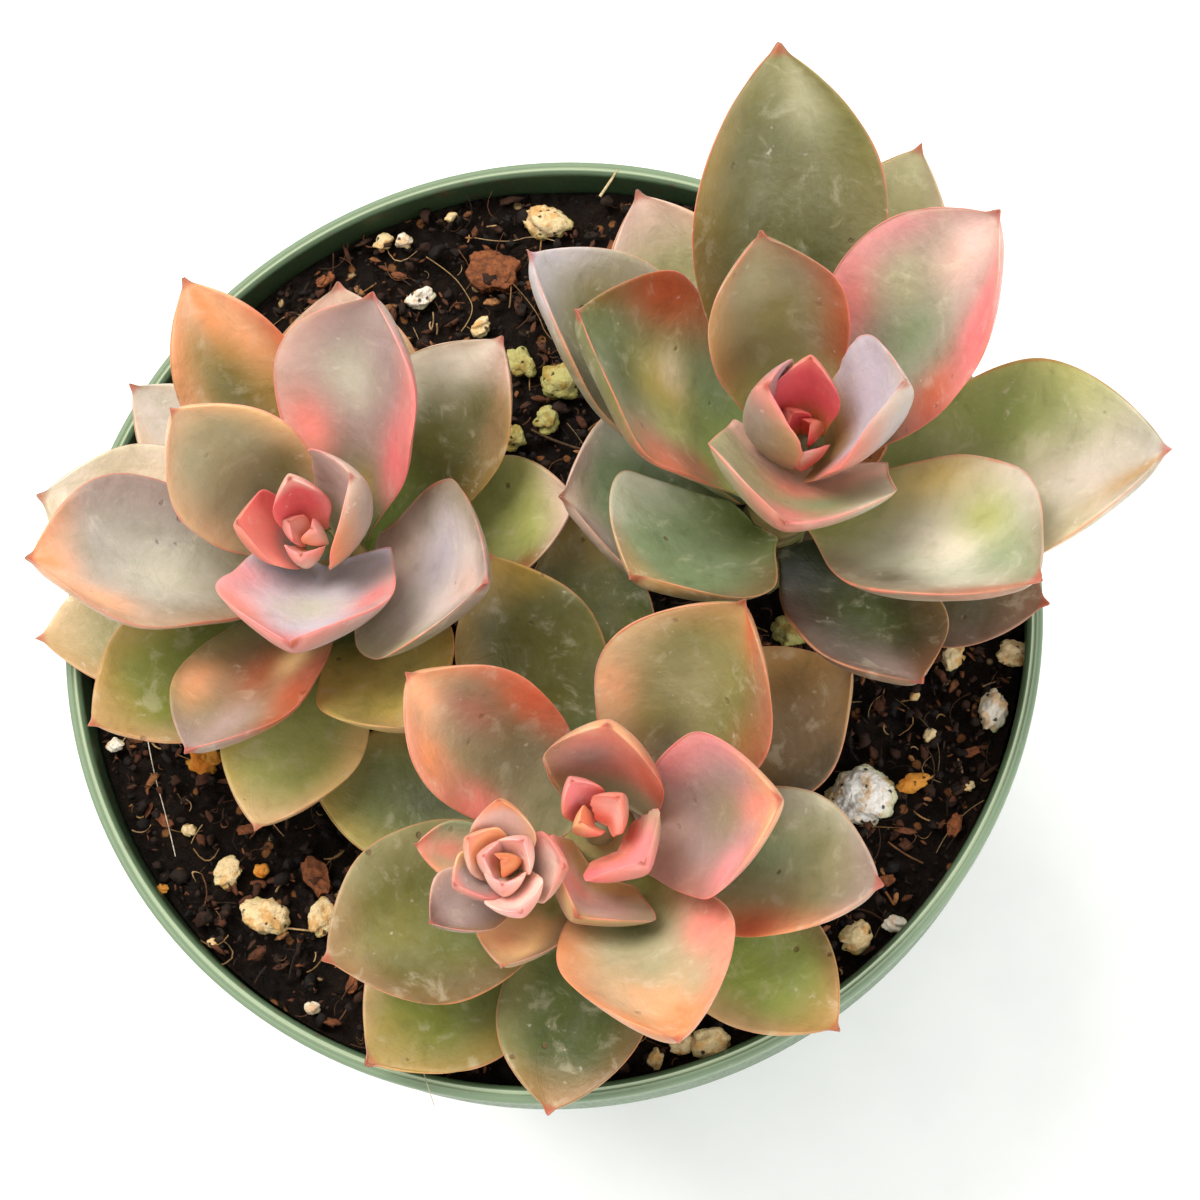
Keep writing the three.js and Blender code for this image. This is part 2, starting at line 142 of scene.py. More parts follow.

# Soft patches of another colour: how far along the leaf, how far across from right -1 to left 1, size, colour.
# Many stand for light and shade: the ivory, shell and stone patches are painted sunlit spots and highlights,
# the silver ones are painted reflections, and the deep, forest and umber ones are painted shade from
# neighbouring leaves.
LEAF_PATCHES_AND_PAINTED_LIGHT = {
    "a05": [(0.7, -0.9, 0.12, "rust")],
    "a08": [(0.9, 0.5, 0.2, "ivory"), (0.62, 0.9, 0.12, "ivory"), (0.75, -0.7, 0.14, "bronze")],
    "a10": [(0.62, 0.2, 0.18, "moss"), (0.9, -0.1, 0.14, "orange"), (0.75, -0.5, 0.14, "peach")],
    "a11": [(0.45, 0.0, 0.2, "rust"), (0.66, -0.7, 0.13, "peach"), (0.5, 0.75, 0.16, "ember"),
            (0.35, 0.3, 0.12, "apricot"), (0.8, 0.2, 0.16, "mauve")],
    "a12": [(0.5, 0.1, 0.18, "silver"), (0.97, 0.0, 0.1, "orange"), (0.8, 0.6, 0.12, "peach")],
    "a13": [(0.55, 0.3, 0.2, "lilac"), (0.15, -0.6, 0.16, "deep"), (0.85, 0.0, 0.14, "blush")],
    "a14": [(0.6, 0.0, 0.2, "khaki"), (0.4, -0.6, 0.15, "olive"), (0.25, 0.0, 0.12, "moss")],
    "a15": [(0.42, -0.7, 0.15, "hot"), (0.6, -0.9, 0.13, "rose"), (0.62, 0.25, 0.16, "silver"),
            (0.35, 0.7, 0.14, "coral"), (0.16, -0.2, 0.12, "brass")],
    "a16": [(0.75, -0.75, 0.16, "salmon"), (0.6, 0.75, 0.14, "rose"), (0.5, 0.0, 0.18, "silver")],
    "b02": [(0.35, 0.0, 0.18, "deep"), (0.85, 0.5, 0.16, "mauve")],
    "b04": [(0.85, -0.2, 0.16, "dusk"), (0.5, 0.2, 0.2, "deep")],
    "b07": [(0.55, 0.55, 0.18, "fresh"), (0.8, -0.1, 0.2, "stone"), (0.95, -0.5, 0.12, "tan")],
    "b09": [(0.5, 0.85, 0.2, "ember"), (0.72, 0.1, 0.2, "forest"), (0.68, -0.8, 0.15, "ember"),
            (0.5, -0.15, 0.15, "yellow"), (0.48, -0.3, 0.08, "cream"), (0.42, 0.3, 0.1, "lime"),
            (0.3, -0.6, 0.16, "celadon"),
            (0.92, 0.2, 0.12, "green"), (0.3, 0.75, 0.12, "rust")],
    "b11": [(0.6, 0.2, 0.22, "moss"), (0.35, -0.2, 0.16, "forest"), (0.88, -0.4, 0.14, "sage")],
    "b12": [(0.35, 0.8, 0.18, "yellow"), (0.58, -0.65, 0.12, "umber"), (0.8, 0.2, 0.18, "celadon"),
            (0.9, -0.8, 0.12, "rust"), (0.55, 0.1, 0.14, "ivory"), (0.62, 0.5, 0.14, "lime")],
    "b13": [(0.82, 0.1, 0.18, "shell"), (0.45, 0.75, 0.14, "rose"), (0.45, -0.75, 0.13, "ember"),
            (0.5, 0.0, 0.18, "celadon"), (0.75, -0.75, 0.15, "hot"), (0.62, 0.45, 0.12, "sage")],
    "b14": [(0.35, 0.0, 0.16, "salmon"), (0.8, 0.0, 0.14, "rose"), (0.55, 0.3, 0.14, "celadon")],
    "b15": [(0.5, 0.0, 0.22, "olive"), (0.8, 0.2, 0.14, "khaki")],
    "c01": [(0.5, 0.3, 0.22, "forest")],
    "c02": [(0.55, 0.0, 0.2, "forest")],
    "c08": [(0.75, 0.0, 0.15, "olive"), (0.4, 0.2, 0.2, "green")],
    "c09": [(0.5, 0.2, 0.18, "celadon"), (0.6, -0.85, 0.14, "ember")],
    "c10": [(0.45, 0.85, 0.13, "peach"), (0.95, -0.6, 0.12, "ember"), (0.6, 0.2, 0.18, "khaki"),
            (0.3, 0.0, 0.12, "umber")],
    "c11": [(0.88, 0.2, 0.16, "peach"), (0.55, 0.15, 0.18, "drab"), (0.55, -0.8, 0.14, "ember"),
            (0.4, 0.85, 0.13, "coral"), (0.72, 0.7, 0.12, "orange"), (0.68, -0.2, 0.14, "rosewood")],
    "c12": [(0.3, 0.0, 0.13, "green"), (0.72, -0.1, 0.18, "peach"), (0.92, 0.3, 0.12, "orange"),
            (0.5, 0.7, 0.12, "coral"), (0.55, 0.0, 0.14, "sage")],
    "c13": [(0.6, 0.0, 0.16, "drab"), (0.85, 0.0, 0.14, "salmon"), (0.7, -0.7, 0.14, "pink")],
    "c14": [(0.45, -0.2, 0.15, "salmon"), (0.7, -0.4, 0.12, "coral")],
    "c15": [(0.6, -0.7, 0.16, "ember"), (0.93, 0.0, 0.12, "salmon"), (0.5, 0.35, 0.22, "dusk")],
    "d01": [(0.7, -0.3, 0.16, "peach"), (0.3, 0.6, 0.12, "meadow")],
    "d02": [(0.7, 0.0, 0.2, "salmon")],
    "d03": [(0.6, -0.2, 0.18, "mauve")],
}

# The folded young leaves of each growing tip: place from the middle of the bottom of the tip's box, compass
# turn, rise above level, length, width and roll, in mm and degrees, how sharply it is folded, and its colours.
YOUNG_LEAVES = {
    "bud_a": [
        (-2.5, -0.7, 1.3, 187, 62, 11, 8.5, 2, 0.3, "mauve coral coral salmon hot"),
        (2.1, 0.1, 1.8, 14, 70, 16.5, 12, -3, 0.5, "sage mauve blush mauve orange"),
        (-0.5, 0.6, 3.8, 108, 68, 9, 6, 0, 0.5, "coral hot shell hot pink"),
        (-0.6, -1.8, 3.6, 268, 62, 5, 4.2, 0, 0.2, "peach shell pink pink pink"),
        (-1.1, -0.5, 3.9, 160, 72, 4.6, 3.2, 0, 0.5, "salmon shell pink pink salmon"),
        (0.0, -0.7, 4.1, 330, 80, 4.2, 2.8, 0, 0.5, "salmon shell pink pink peach"),
    ],
    "bud_b": [
        (-0.4, -0.6, 1.5, 356, 62, 20, 14, -8, 0.7, "tan lilac stone lilac ember"),
        (-5.4, -0.2, 2.5, 175, 83, 15.5, 10, 7, 0.6, "sage mauve rose tan lilac"),
        (-2.3, 0.9, 4.4, 80, 68, 11, 6.8, 0, 0.4, "orange hot coral hot hot"),
        (-2.6, -1.7, 4.4, 265, 62, 5, 5.2, 0, 0.5, "orange hot shell coral hot"),
        (-3.2, -0.1, 4.6, 130, 78, 5.4, 3.4, 0, 0.5, "orange hot coral hot hot"),
        (-2.2, -0.5, 4.8, 20, 80, 4.2, 2.8, 0, 0.5, "orange ember coral hot hot"),
    ],
    "bud_c": [
        (0.1, -0.7, 2.0, 316, 58, 10, 10, -3, 0.7, "salmon pink pink sage hot"),
        (-2.8, 2.9, 3.0, 120, 68, 7, 4.8, 0, 0.5, "salmon pink pink salmon coral"),
        (-0.8, 1.6, 3.5, 45, 66, 6.4, 4.6, 0, 0.5, "salmon shell coral salmon salmon"),
        (-1.9, 1.7, 3.1, 210, 68, 5, 3.4, 0, 0.5, "salmon peach peach coral peach"),
    ],
    "bud_d": [
        (0.6, 0.5, 0.9, 352, 42, 7, 7, 12, 0.2, "mauve blush rose rose blush"),
        (-0.5, 1.2, 1.5, 93, 54, 8.6, 6.5, -5, 0.25, "sage blush orange blush sand"),
        (-1.3, -0.1, 1.7, 210, 46, 7, 6, 7, 0.25, "sage mauve rose rose apricot"),
        (-0.4, -0.6, 2.0, 292, 46, 7.8, 6, 0, 0.25, "sand shell pink shell blush"),
        (-1.2, 0.5, 2.4, 150, 56, 6.4, 5.4, 0, 0.25, "apricot peach salmon blush peach"),
        (0.2, 0.4, 3.2, 50, 64, 5.2, 4.6, 0, 0.3, "sand shell pink shell shell"),
        (-1.0, 0.2, 3.4, 170, 68, 4.6, 4.2, 0, 0.3, "apricot shell pink shell pink"),
        (-0.4, -0.7, 3.4, 268, 64, 4.8, 4.2, 0, 0.3, "sand shell pink shell shell"),
        (-0.5, 0.0, 3.4, 20, 86, 4.8, 2.4, 0, 0.3, "peach orange ember orange orange"),
    ],
}

# Loose grains on the soil: place, size across, how long it is for its width, turn and colour.
GRAINS = [
    (50.8, -5.1, 3.2, 1.2, 20, "pale"), (48.5, -11.5, 3.0, 1.5, 80, "white"),
    (41.6, -14.1, 1.4, 1.2, 40, "pale"), (39.7, -19.5, 2.1, 1.6, 15, "amber"),
    (33.4, -36.1, 3.2, 1.2, 60, "pale"), (37.4, -34.8, 1.8, 1.4, 0, "white"),
    (44.2, -5.3, 2.4, 1.4, 70, "pale"), (26.7, -2.3, 3.4, 1.3, 10, "mossy"),
    (15.0, -47.5, 2.2, 1.4, 30, "pale"), (17.9, -47.3, 3.4, 1.3, 5, "pale"),
    (12.1, -49.0, 1.8, 1.2, 90, "pale"), (-1.4, 47.5, 3.8, 1.5, -10, "pale"),
    (-20.3, 45.8, 2.0, 1.3, 50, "pale"), (-18.0, 45.8, 1.9, 1.1, 0, "white"),
    (-15.7, 38.5, 2.4, 1.5, 30, "white"), (-8.6, 34.6, 2.1, 1.3, 60, "pale"),
    (-3.7, 30.0, 3.2, 1.3, -50, "mossy"), (0.9, 27.6, 4.4, 1.2, 15, "mossy"),
    (-0.7, 23.2, 2.6, 1.3, 70, "mossy"), (-4.7, 20.9, 2.8, 1.2, 20, "mossy"),
    (-37.8, -16.3, 3.0, 1.3, 25, "amber"), (-48.2, -14.5, 1.6, 1.3, 0, "white"),
    (-39.3, -24.1, 1.4, 1.2, 0, "pale"), (-34.6, -28.9, 3.0, 1.2, 60, "pale"),
    (-31.0, -28.6, 1.6, 1.1, 0, "amber"), (-30.2, -33.9, 4.0, 1.4, -10, "pale"),
    (-23.9, -33.7, 3.2, 1.4, 70, "pale"), (-24.7, -43.6, 1.4, 1.3, 0, "white"),
    (45.6, -19.8, 1.1, 1.3, 20, "pale"), (40.1, -9.6, 1.0, 1.5, 60, "pale"),
    (-42.0, -30.5, 1.1, 1.4, 10, "amber"), (-36.0, -36.5, 1.0, 1.2, 0, "pale"),
    (-12.5, 48.6, 1.2, 1.3, 35, "pale"),
]
GRAIN_COLOURS = {
    "white": linear("f2e8d8"), "pale": linear("ead0a0"), "amber": linear("d8923e"), "mossy": linear("b8b070")}

# Bits of bark on the soil: place, length, turn and how far it stands up.
BARK_BITS = [
    (-24.8, -29.3, 4.6, -60, 0.9), (-7.0, -45.0, 2.4, 30, 0.5), (44.0, -24.0, 2.6, 70, 0.6),
    (36.5, -30.0, 2.2, 15, 0.5), (-33.0, -24.0, 2.0, 10, 0.5), (6.5, 44.0, 2.6, 80, 0.6),
    (-27.0, 41.0, 2.4, 35, 0.6), (-42.0, -23.0, 2.2, -35, 0.5), (12.0, 41.5, 2.0, 0, 0.5),
    (30.5, -33.0, 2.2, 55, 0.5), (-20.5, -41.0, 2.2, 75, 0.5), (46.0, -16.0, 1.8, 20, 0.4),
]

# Fine roots and straws that lie over the soil: points across it, height above it at each, thickness and colour.
ROOTS = [
    ([(-15.2, 43.6), (-12.4, 41.8), (-10.6, 39.5), (-9.2, 36.6), (-10.9, 34.4)], 0.5, 0.16, "a98a5c"),
    ([(-9.8, 46.0), (-6.0, 45.0), (-2.5, 46.2), (0.5, 44.8)], 0.7, 0.12, "b89a6c"),
    ([(-44.4, -14.0), (-43.6, -17.8), (-41.8, -22.4), (-40.6, -27.0)], 0.6, 0.14, "ddd2bd"),
    ([(5.2, 49.4), (6.5, 51.4), (7.2, 52.6)], 3.6, 0.4, "d8c294"),
    ([(-2.5, 22.0), (0.2, 20.4), (4.4, 19.2)], 0.9, 0.45, "57402a"),
    ([(-5.0, 40.0), (-2.0, 36.5), (-1.0, 33.0), (2.2, 31.0)], 0.5, 0.12, "8a6a42"),
    ([(33.0, -27.5), (35.6, -29.4), (37.4, -32.6)], 0.6, 0.3, "9a6438"),
    ([(42.0, -27.0), (44.0, -23.0), (47.2, -21.4)], 0.5, 0.12, "a58a62"),
    ([(-21.0, 40.6), (-24.0, 38.0), (-28.4, 37.4)], 0.6, 0.2, "8a6238"),
    ([(-31.0, 34.0), (-27.6, 35.2), (-24.8, 33.8), (-22.0, 35.4)], 0.5, 0.1, "b09468"),
    ([(-14.0, -50.4), (-12.5, -49.0), (-11.4, -52.2), (-10.6, -54.4)], 3.9, 0.1, "cdbfa4"),
    ([(38.0, -10.0), (41.0, -12.2), (43.0, -16.0), (42.2, -18.8)], 0.4, 0.1, "7a6040"),
]


# ---- Settings -----------------------------------------------------------------------------------------------

class SucculentLeafSettings(bpy.types.PropertyGroup):
    bloom: FloatProperty(
        name="Bloom", description="How thick the powdery wax lies on the skin", default=0.09, min=0, max=1,
        subtype="FACTOR")
    mottle: FloatProperty(
        name="Mottle", description="How strongly the colour of the skin varies", default=0.5, min=0, max=1,
        subtype="FACTOR")
    dents: FloatProperty(
        name="Dents", description="Height of the soft swellings of the blade", default=0.00035, min=0,
        max=0.002, subtype="DISTANCE", unit="LENGTH")
    rim: FloatProperty(
        name="Margin radius", description="Radius of the rounded margin", default=0.0004, min=0, max=0.002,
        subtype="DISTANCE", unit="LENGTH")
    spine: FloatProperty(
        name="Point", description="Length of the sharp point on the tip", default=0.0006, min=0, max=0.002,
        subtype="DISTANCE", unit="LENGTH")
    margin_colour: FloatVectorProperty(
        name="Margin colour", description="Colour of the thin line along the margin", default=linear("c07a50"),
        size=3, subtype="COLOR", min=0, max=1)


class SucculentPotSettings(bpy.types.PropertyGroup):
    colour: FloatVectorProperty(
        name="Pot colour", description="Colour of the moulded plastic", default=linear("4f6a48"), size=3,
        subtype="COLOR", min=0, max=1)
    ridges: IntProperty(name="Lip ridges", description="Fine rings moulded on the lip", default=2, min=0, max=6)
    ridge_height: FloatProperty(
        name="Ridge height", description="Height of a ring on the lip", default=0.0002, min=0, max=0.001,
        subtype="DISTANCE", unit="LENGTH")


class SucculentSoilSettings(bpy.types.PropertyGroup):
    colour: FloatVectorProperty(
        name="Soil colour", description="Colour of the moist peat", default=linear("1e140d"), size=3,
        subtype="COLOR", min=0, max=1)
    relief: FloatProperty(
        name="Relief", description="Height of the clods", default=0.003, min=0, max=0.01, subtype="DISTANCE",
        unit="LENGTH")
    crumbs: IntProperty(
        name="Crumbs", description="How many loose crumbs of peat", default=3300, min=0, max=3500)
    shreds: IntProperty(
        name="Shreds", description="How many torn shreds of bark", default=1100, min=0, max=3500)
    fibres: IntProperty(name="Fibres", description="How many short straws", default=1100, min=0, max=2000)


class SucculentStageSettings(bpy.types.PropertyGroup):
    floor_colour: FloatVectorProperty(
        name="Floor colour", description="Colour of the plain floor", default=(0.96, 0.96, 0.955), size=3,
        subtype="COLOR", min=0, max=1)
    key_power: FloatProperty(
        name="Key light", description="Power of the large soft light", default=8.0, min=0, unit="POWER")
    fill_power: FloatProperty(
        name="Fill light", description="Power of the second light", default=3.0, min=0, unit="POWER")
    sky: FloatProperty(name="Room light", description="Strength of the even light around", default=0.92, min=0)
    camera_azimuth: FloatProperty(
        name="Camera azimuth", description="Where the camera stands round the pot", default=math.radians(17),
        subtype="ANGLE", unit="ROTATION")
    camera_elevation: FloatProperty(
        name="Camera elevation", description="How steeply the camera looks down", default=math.radians(72),
        subtype="ANGLE", unit="ROTATION")
    camera_roll: FloatProperty(
        name="Camera roll", description="How far the camera leans to its side", default=math.radians(-17),
        subtype="ANGLE", unit="ROTATION")
    camera_distance: FloatProperty(
        name="Camera distance", description="From the camera to the point that it looks at", default=0.3,
        min=0.1,
        subtype="DISTANCE", unit="LENGTH")


# ---- Modelling helpers --------------------------------------------------------------------------------------

def deselect():
    if bpy.context.object and bpy.context.object.mode != "OBJECT":
        bpy.ops.object.mode_set(mode="OBJECT")
    bpy.ops.object.select_all(action="DESELECT")


def take(piece):
    """Selects one object alone and makes it the active one."""
    deselect()
    piece.select_set(True)
    bpy.context.view_layer.objects.active = piece
    return piece


def named(name):
    """The object that an operator has just added, under its own name."""
    piece = bpy.context.object
    piece.name = name
    piece.data.name = name
    return piece


def positions(mesh):
    co = np.empty(len(mesh.vertices) * 3)
    mesh.vertices.foreach_get("co", co)
    return co.reshape(-1, 3)


def place(mesh, co):
    mesh.vertices.foreach_set("co", np.ascontiguousarray(co, dtype=np.float32).ravel())
    mesh.update()


def keep(mesh, name, values):
    """Stores one number for each vertex under a name."""
    attribute = mesh.attributes.get(name) or mesh.attributes.new(name, "FLOAT", "POINT")
    attribute.data.foreach_set("value", np.ascontiguousarray(values, dtype=np.float32))


def kept(mesh, name):
    values = np.empty(len(mesh.vertices))
    mesh.attributes[name].data.foreach_get("value", values)
    return values


def tint(mesh, colours):
    """Stores one colour for each vertex, which the materials read."""
    attribute = mesh.attributes.get("tint") or mesh.attributes.new("tint", "FLOAT_COLOR", "POINT")
    rgba = np.ones((len(mesh.vertices), 4), dtype=np.float32)
    rgba[:, :3] = colours
    attribute.data.foreach_set("color", rgba.ravel())


def modify(piece, kind, **settings):
    """Adds a modifier with these settings and applies it."""
    take(piece)
    modifier = piece.modifiers.new(kind.title(), kind)
    for key, value in settings.items():
        setattr(modifier, key, value)
    bpy.ops.object.modifier_apply(modifier=modifier.name)


def subdivide(piece, levels):
    modify(piece, "SUBSURF", levels=levels, render_levels=levels)


def lumps(name, kind, size, **settings):
    """A procedural height pattern for a displacement."""
    texture = bpy.data.textures.get(name) or bpy.data.textures.new(name, kind)
    texture.noise_scale = size
    for key, value in settings.items():
        setattr(texture, key, value)
    return texture


def swell(piece, texture, height, group=""):
    modify(
        piece, "DISPLACE", texture=texture, strength=height, mid_level=0.5, texture_coords="LOCAL",
        vertex_group=group)


def smooth(t, low, high):
    x = np.clip((np.asarray(t, float) - low) / (high - low), 0, 1)
    return x * x * (3 - 2 * x)


def finish_piece(piece, material, nodes=()):
    """Gives a finished piece its material and body, and hides the nodes it stands for."""
    piece.data.materials.clear()
    piece.data.materials.append(material)
    take(piece)
    bpy.ops.object.shade_smooth()
    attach(piece, BODY)
    if nodes:
        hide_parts(*nodes)
    deselect()
    return piece


def join(pieces, name):
    take(pieces[0])
    for piece in pieces[1:]:
        piece.select_set(True)
    bpy.ops.object.join()
    return named(name)


# ---- Material helpers ---------------------------------------------------------------------------------------

def add(tree, kind, inputs=None, **settings):
    """A node of this kind, with settings and with inputs given as numbers, colours or other nodes' outputs."""
    node = tree.nodes.new(kind)
    for key, value in settings.items():
        setattr(node, key, value)
    for key, value in (inputs or {}).items():
        socket = node.inputs[key]
        if isinstance(value, bpy.types.NodeSocket):
            tree.links.new(value, socket)
        elif socket.type == "RGBA" and len(value) == 3:
            socket.default_value = (*value, 1)
        else:
            socket.default_value = value
    return node


def noise(tree, where, scale, detail=3.0, roughness=0.5, distortion=0.0):
    inputs = {
        "Vector": where, "Scale": scale, "Detail": detail, "Roughness": roughness, "Distortion": distortion}
    return add(tree, "ShaderNodeTexNoise", inputs).outputs["Fac"]


def span(tree, value, low, high, to_low=0.0, to_high=1.0, soft=True):
    """Maps a value from one range to another, with soft ends."""
    inputs = {"Value": value, "From Min": low, "From Max": high, "To Min": to_low, "To Max": to_high}
    kind = "SMOOTHSTEP" if soft else "LINEAR"
    return add(tree, "ShaderNodeMapRange", inputs, interpolation_type=kind).outputs["Result"]


def maths(tree, operation, a, b=0.0, c=0.0):
    return add(tree, "ShaderNodeMath", {0: a, 1: b, 2: c}, operation=operation).outputs[0]


def times(tree, a, b):
    return maths(tree, "MULTIPLY", a, b)


def stretched(tree, where, scale):
    """Coordinates drawn out or pressed together along each axis."""
    return add(tree, "ShaderNodeMapping", {"Vector": where, "Scale": scale}).outputs[0]


def blend(tree, amount, a, b, kind="MIX"):
    """Mixes two colours."""
    node = add(tree, "ShaderNodeMix", data_type="RGBA", blend_type=kind)
    node.clamp_result = True
    for key, value in (("Factor_Float", amount), ("A_Color", a), ("B_Color", b)):
        socket = next(s for s in node.inputs if s.identifier == key)
        if isinstance(value, bpy.types.NodeSocket):
            tree.links.new(value, socket)
        elif key == "Factor_Float":
            socket.default_value = value
        else:
            socket.default_value = (*value, 1) if len(value) == 3 else value
    return next(s for s in node.outputs if s.identifier == "Result_Color")


def new_group(name, inputs, outputs):
    """A shader node group with named sockets, its input node and its output node."""
    group = bpy.data.node_groups.new(name, "ShaderNodeTree")
    for label, kind, default in inputs:
        socket = group.interface.new_socket(name=label, in_out="INPUT", socket_type=kind)
        if default is not None:
            socket.default_value = default
    for label, kind in outputs:
        group.interface.new_socket(name=label, in_out="OUTPUT", socket_type=kind)
    return group, group.nodes.new("NodeGroupInput").outputs, group.nodes.new("NodeGroupOutput").inputs


def new_material(name):
    material = bpy.data.materials.new(name)
    material.use_nodes = True
    tree = material.node_tree
    tree.nodes.clear()
    shader = tree.nodes.new("ShaderNodeBsdfPrincipled")
    output = tree.nodes.new("ShaderNodeOutputMaterial")
    tree.links.new(shader.outputs["BSDF"], output.inputs["Surface"])
    return material, tree, shader


def bump(tree, shader, height, distance, strength=1.0):
    node = add(tree, "ShaderNodeBump", {"Strength": strength, "Distance": distance, "Height": height})
    tree.links.new(node.outputs["Normal"], shader.inputs["Normal"])


def leaf_skin_group():
    """Waxy skin: mottling, lengthwise streaks, powdery bloom, a thin margin line and a few scars."""
    group, given, out = new_group(
        "Succulent skin",
        [("Tint", "NodeSocketColor", (0.3, 0.3, 0.2, 1)), ("Along", "NodeSocketFloat", 0.5),
         ("Across", "NodeSocketFloat", 0.0), ("Bloom", "NodeSocketFloat", 0.2),
         ("Mottle", "NodeSocketFloat", 0.5), ("Scars", "NodeSocketFloat", 0.5),
         ("Margin", "NodeSocketColor", (0.6, 0.35, 0.15, 1))],
        [("Color", "NodeSocketColor"), ("Roughness", "NodeSocketFloat"), ("Height", "NodeSocketFloat")])
    where = add(group, "ShaderNodeTexCoord").outputs["Object"]

    patches = noise(group, where, 160, 4, 0.55, 0.4)
    cells = noise(group, where, 1100, 5, 0.65)
    strip = add(group, "ShaderNodeCombineXYZ", {
        0: times(group, given["Along"], 2.2), 1: times(group, given["Across"], 9.0),
        2: times(group, patches, 0.6)}).outputs[0]
    streaks = noise(group, strip, 1.6, 3, 0.6)

    deeper = blend(group, 1.0, given["Tint"], (0.62, 0.66, 0.5), "MULTIPLY")
    shade = times(group, span(group, patches, 0.35, 0.68), given["Mottle"])
    colour = blend(group, shade, given["Tint"], deeper)
    colour = blend(group, times(group, span(group, streaks, 0.48, 0.75), 0.1), colour, deeper)
    blotches = noise(group, where, 330, 5, 0.62, 0.5)
    dull = blend(group, 1.0, colour, (0.6, 0.62, 0.52), "MULTIPLY")
    shade = times(group, span(group, blotches, 0.5, 0.72), given["Mottle"])
    colour = blend(group, shade, colour, dull)
    bright = times(group, span(group, blotches, 0.3, 0.46, 1.0, 0.0), given["Mottle"])
    colour = blend(group, times(group, bright, 0.45), colour, linear("e6dcc0"))
    pale = blend(group, 0.4, given["Tint"], (0.8, 0.62, 0.5))
    colour = blend(group, times(group, span(group, cells, 0.55, 0.8), 0.16), colour, pale)

    powder = noise(group, where, 75, 5, 0.6, 0.8)
    dust = times(group, span(group, powder, 0.36, 0.66), given["Bloom"])
    dust = times(group, dust, span(group, cells, 0.3, 0.6, 0.6, 1.0))
    colour = blend(group, dust, colour, linear("c9c8bb"))

    edge = span(group, maths(group, "ABSOLUTE", given["Across"]), 0.965, 0.998)
    worn = span(group, noise(group, where, 420, 3), 0.3, 0.55, 0.35, 1.0)
    line = times(group, times(group, edge, worn), 0.7)
    colour = blend(group, line, colour, given["Margin"])
    point = span(group, given["Along"], 0.972, 1.0)
    colour = blend(group, times(group, point, 0.8), colour, linear("a8483a"))

    pits = add(group, "ShaderNodeTexVoronoi", {"Vector": where, "Scale": 620.0}, feature="F1")
    chance = add(group, "ShaderNodeSeparateColor", {0: pits.outputs["Color"]}).outputs[0]
    ragged = maths(group, "ADD", pits.outputs["Distance"], times(group, cells, 0.3))
    fleck = span(group, ragged, 0.28, 0.4, 1.0, 0.0)
    rare = maths(group, "GREATER_THAN", chance, 0.95)
    scar = times(group, times(group, fleck, rare), given["Scars"])
    colour = blend(group, times(group, scar, 0.7), colour, linear("6b4a30"))

    chalk = times(group, span(group, noise(group, where, 900, 2), 0.68, 0.76), 0.35)
    colour = blend(group, times(group, chalk, span(group, patches, 0.45, 0.6)), colour, linear("e2d8c8"))

    rough = span(group, patches, 0.3, 0.7, 0.34, 0.48)
    rough = maths(group, "ADD", rough, times(group, dust, 0.5))
    height = maths(group, "ADD", times(group, patches, 0.9), times(group, cells, 0.2))
    height = maths(group, "ADD", height, times(group, streaks, 0.1))
    height = maths(group, "SUBTRACT", height, times(group, scar, 0.5))
    group.links.new(colour, out["Color"])
    group.links.new(rough, out["Roughness"])
    group.links.new(height, out["Height"])
    return group


def leaf_material(name, bloom=1.0, mottle=1.0, scars=0.5, margin=None, soft=0.18):
    """Skin of a leaf; bloom and mottle are shares of the plant's own settings."""
    settings = bpy.context.scene.succulent_leaves
    group = bpy.data.node_groups.get("Succulent skin") or leaf_skin_group()
    material, tree, shader = new_material(name)
    read = {label: add(tree, "ShaderNodeAttribute", attribute_name=label).outputs
            for label in ("tint", "along", "across")}
    skin = add(tree, "ShaderNodeGroup", node_tree=group)
    tree.links.new(read["tint"]["Color"], skin.inputs["Tint"])
    tree.links.new(read["along"]["Fac"], skin.inputs["Along"])
    tree.links.new(read["across"]["Fac"], skin.inputs["Across"])
    skin.inputs["Bloom"].default_value = settings.bloom * bloom
    skin.inputs["Mottle"].default_value = settings.mottle * mottle
    skin.inputs["Scars"].default_value = scars
    skin.inputs["Margin"].default_value = (*(margin or settings.margin_colour), 1)
    tree.links.new(skin.outputs["Color"], shader.inputs["Base Color"])
    tree.links.new(skin.outputs["Roughness"], shader.inputs["Roughness"])
    bump(tree, shader, skin.outputs["Height"], 0.0006, 0.6)
    shader.inputs["Subsurface Weight"].default_value = soft
    shader.inputs["Subsurface Radius"].default_value = (1.0, 0.6, 0.3)
    shader.inputs["Subsurface Scale"].default_value = 0.0015
    shader.inputs["Specular IOR Level"].default_value = 0.42
    shader.inputs["Sheen Weight"].default_value = 0.05
    shader.inputs["Sheen Roughness"].default_value = 0.5
    return material


# ---- Stage --------------------------------------------------------------------------------------------------

